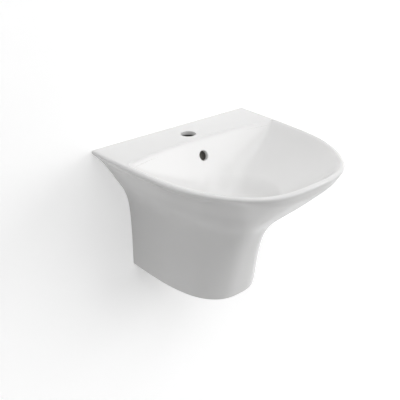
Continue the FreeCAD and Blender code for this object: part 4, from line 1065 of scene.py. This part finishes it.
def bolt(x):
    place = (x, 0, 0)
    core = turned("bolt", [(0, -BOLT_IN_WALL), (BOLT_POINT, -BOLT_IN_WALL),
                           (SCREW_CORE, -BOLT_IN_WALL + BOLT_TIP),
                           (SCREW_CORE, -BOLT_SHOULDER), (BOLT_CORE, -BOLT_SHOULDER),
                           (BOLT_CORE, BOLT_INSIDE - BOLT_CHAMFER), (BOLT_CORE - BOLT_CHAMFER, BOLT_INSIDE),
                           (0, BOLT_INSIDE)], place, OUT_OF_WALL, 0.3, 48)
    threaded(core, "steel", BOLT_RADIUS, BOLT_PITCH, BOLT_RADIUS - BOLT_CORE,
             (x, BOLT_SHOULDER - BOLT_CHAMFER, 0),
             BOLT_INSIDE + BOLT_SHOULDER - 3 * BOLT_CHAMFER, OUT_OF_WALL)
    return threaded(core, "steel", SCREW_RADIUS, SCREW_PITCH, (SCREW_RADIUS - SCREW_CORE) * SCREW_RIDGE_SHARE,
                    (x, BOLT_IN_WALL - BOLT_TIP, 0),
                    BOLT_IN_WALL - BOLT_TIP - BOLT_SHOULDER - 2 * BOLT_CHAMFER, OUT_OF_WALL)


def wall_plug(x):
    """Ribbed sleeve, slit along two sides so that the screw can spread it."""
    ribs = []
    valley = PLUG_RADIUS - PLUG_RIB_DEPTH
    for i in range(PLUG_RIBS):
        start = -PLUG_LENGTH + PLUG_TAPER + PLUG_RIB_PITCH * i
        ribs += [(PLUG_RADIUS, start), (PLUG_RADIUS, start + PLUG_RIB_TOP),
                 (valley, start + PLUG_RIB_FOOT), (valley, start + PLUG_RIB_END)]
    plug = turned("sleeve", [(PLUG_BORE, -PLUG_LENGTH), (PLUG_RADIUS - PLUG_NOSE, -PLUG_LENGTH)] + ribs
                  + [(PLUG_RADIUS, -PLUG_RIB_END), (PLUG_RADIUS, -PLUG_SUNK), (PLUG_BORE, -PLUG_SUNK)],
                  (x, 0, 0), OUT_OF_WALL, 0.25, 48)
    slit = box_tool((x - PLUG_SLIT / 2, PLUG_SLIT_START, -PLUG_SLIT_REACH),
                    (x + PLUG_SLIT / 2, PLUG_LENGTH - PLUG_SLIT_END, PLUG_SLIT_REACH))
    return carved(plug, slit, "DIFFERENCE")


def bush(x):
    return turned("sleeve", [(BUSH_BORE, BUSH_FROM_WALL), (BUSH_SLEEVE, BUSH_FROM_WALL),
                             (BUSH_SLEEVE, PANEL_THICKNESS), (BUSH_FLANGE, PANEL_THICKNESS),
                             (BUSH_FLANGE, BUSH_TOP), (BUSH_BORE, BUSH_TOP)], (x, 0, 0), OUT_OF_WALL, 0.5, 64)


def hanger_nut(x):
    return hex_nut("nut", NUT_ACROSS, NUT_HEIGHT, BOLT_RADIUS + THREAD_FIT, (x, -WASHER_TOP, 0), OUT_OF_WALL)


def fixings():
    for name, node, slot, make in (("hanger_bolts", "fixing_bolts", "steel", bolt),
                                   ("wall_sleeves", "wall_plugs", "nylon", wall_plug),
                                   ("flanged_bushes", "fixing_bushes", "nylon", bush),
                                   ("hanger_nuts", "fixing_nuts", "steel", hanger_nut)):
        finished(together(name, [make(-FIXING_X), make(FIXING_X)]), slot, "basin", node)


waste()
plug_top()
spring()
waste_nut()
grip_nut("inlet_nut", "trap_inlet_nut", INLET_NUT_RADIUS, TUBE_RADIUS,
         over_drain(TUBE_END_Z + NUT_OVERLAP - GRIP_NUT_HEIGHT), False)
grip_nut("union_nut", "trap_union_nut", UNION_NUT_RADIUS, UNION_THREAD_RADIUS,
         (0, REAR_Y, UNION_Z - NUT_OVERLAP), True)
trap()
outlet()
cleanout()
rosette()
fixings()

# ---- the CAD nodes that stay ----

for part in frame["record"]["subparts"]:
    node = frame["nodes"][part["node"]]
    node.data.materials.clear()
    node.data.materials.append(FINISHES[part["material_slot"]])

# ---- stage, light and camera ----

WALL_GREY, WALL_LIFT, WALL_LIFT_LOW = 0.97, 0.30, 0.40
FLOOR_GREY, FLOOR_LIFT = 0.58, 0.60
WALL_PLANE = -0.0001
FLOOR_Z, STAGE_REACH, WALL_TOP = -1.1, 6, 4
LIFT_LEVEL, LIFT_SOFT = -0.45, 0.35  # where up the wall the lift changes, and over how much
ROOM_LEVEL = 0.27
LAMPS = [("key", (3.1, -3.4, 1.2), (0, -0.2, 0), 2.8, 66),  # name, place, target, size, power
         ("top", (0.2, -2.3, 4.0), (0, -0.2, 0), 4.6, 88),
         ("fill", (-2.0, -3.0, 2.4), (0, -0.2, -0.1), 2.6, 8),
         ("behind the wall", (-0.8, 2.6, 0.9), (0, 0, -0.1), 2.0, 60)]


def seen_ray(f):
    """1 where the background is seen straight, in a reflection or through glass, 0 where it gives light."""
    camera, glossy, through = (f.node("ShaderNodeLightPath", {}, out="Is %s Ray" % kind)
                               for kind in ("Camera", "Glossy", "Transmission"))
    return f.node("ShaderNodeMath", {"operation": "ADD", "use_clamp": True}, camera + glossy, through)


def backdrop_material(name, level, lift, lift_low):
    """Plain pale surface on its front, lifted to white where it is seen, and absent from behind."""
    f = paint(name)
    shade = f.node("ShaderNodeBsdfDiffuse", {}, Color=grey(level))
    height = f.along("Z").above(LIFT_LEVEL, LIFT_SOFT)
    glow = f.node("ShaderNodeEmission", {}, Color=f.mix(height, grey(lift_low), grey(lift)), Strength=1.0)
    lifted = f.node("ShaderNodeAddShader", {}, shade, glow)
    clear = f.node("ShaderNodeBsdfTransparent", {})
    behind = f.node("ShaderNodeNewGeometry", {}, out="Backfacing")
    surface = f.node("ShaderNodeMixShader", {}, seen_ray(f), shade, lifted)
    return f.shown(f.node("ShaderNodeMixShader", {}, behind, surface, clear))


def plane(name, corners, material):
    data = bpy.data.meshes.new(name)
    data.from_pydata(corners, [], [(0, 1, 2, 3)])
    data.materials.append(material)
    thing = bpy.data.objects.new(name, data)
    bpy.context.scene.collection.objects.link(thing)


plane("wall", [(x, WALL_PLANE, z) for x, z in ((-STAGE_REACH, FLOOR_Z), (STAGE_REACH, FLOOR_Z),
                                               (STAGE_REACH, WALL_TOP), (-STAGE_REACH, WALL_TOP))],
      backdrop_material("wall_paint", WALL_GREY, WALL_LIFT, WALL_LIFT_LOW))
plane("floor", [(STAGE_REACH * x, STAGE_REACH * y, FLOOR_Z) for x, y in ((-1, -1), (1, -1), (1, 1), (-1, 1))],
      backdrop_material("floor_paint", FLOOR_GREY, FLOOR_LIFT, FLOOR_LIFT))


def softbox(name, place, target, size, power):
    lamp = bpy.data.lights.new(name, "AREA")
    lamp.shape, lamp.size, lamp.energy = "SQUARE", size, power
    thing = bpy.data.objects.new(name, lamp)
    thing.location = place
    thing.rotation_euler = (Vector(target) - Vector(place)).to_track_quat("-Z", "Y").to_euler()
    bpy.context.scene.collection.objects.link(thing)


for lamp in LAMPS:
    softbox(*lamp)


def room():
    """An even white room: full white where it is seen, plainer as light."""
    world = bpy.data.worlds.new("room")
    f = Finish(world)
    background = f.node("ShaderNodeBackground", {}, grey(1.0), ROOM_LEVEL + (1 - ROOM_LEVEL) * seen_ray(f))
    bpy.context.scene.world = f.shown(background, "World")


room()

CAMERA_PLACE = (-1.0400, -1.3015, 0.6846)
CAMERA_YAW, CAMERA_PITCH, CAMERA_ROLL = -0.7127, 0.4442, 0.0017
FOCAL_PIXELS, PICTURE_PIXELS, SENSOR = 757.1, 400, 36.0

camera = bpy.data.objects.new("camera", bpy.data.cameras.new("camera"))
bpy.context.scene.collection.objects.link(camera)
camera.data.sensor_width = SENSOR
camera.data.lens = FOCAL_PIXELS * SENSOR / PICTURE_PIXELS
camera.location = CAMERA_PLACE
camera.rotation_euler = (Matrix.Rotation(CAMERA_YAW, 3, "Z")
                         @ Matrix.Rotation(math.pi / 2 - CAMERA_PITCH, 3, "X")
                         @ Matrix.Rotation(CAMERA_ROLL, 3, "Z")).to_euler()
bpy.context.scene.camera = camera
bpy.context.scene.view_settings.view_transform = "Standard"
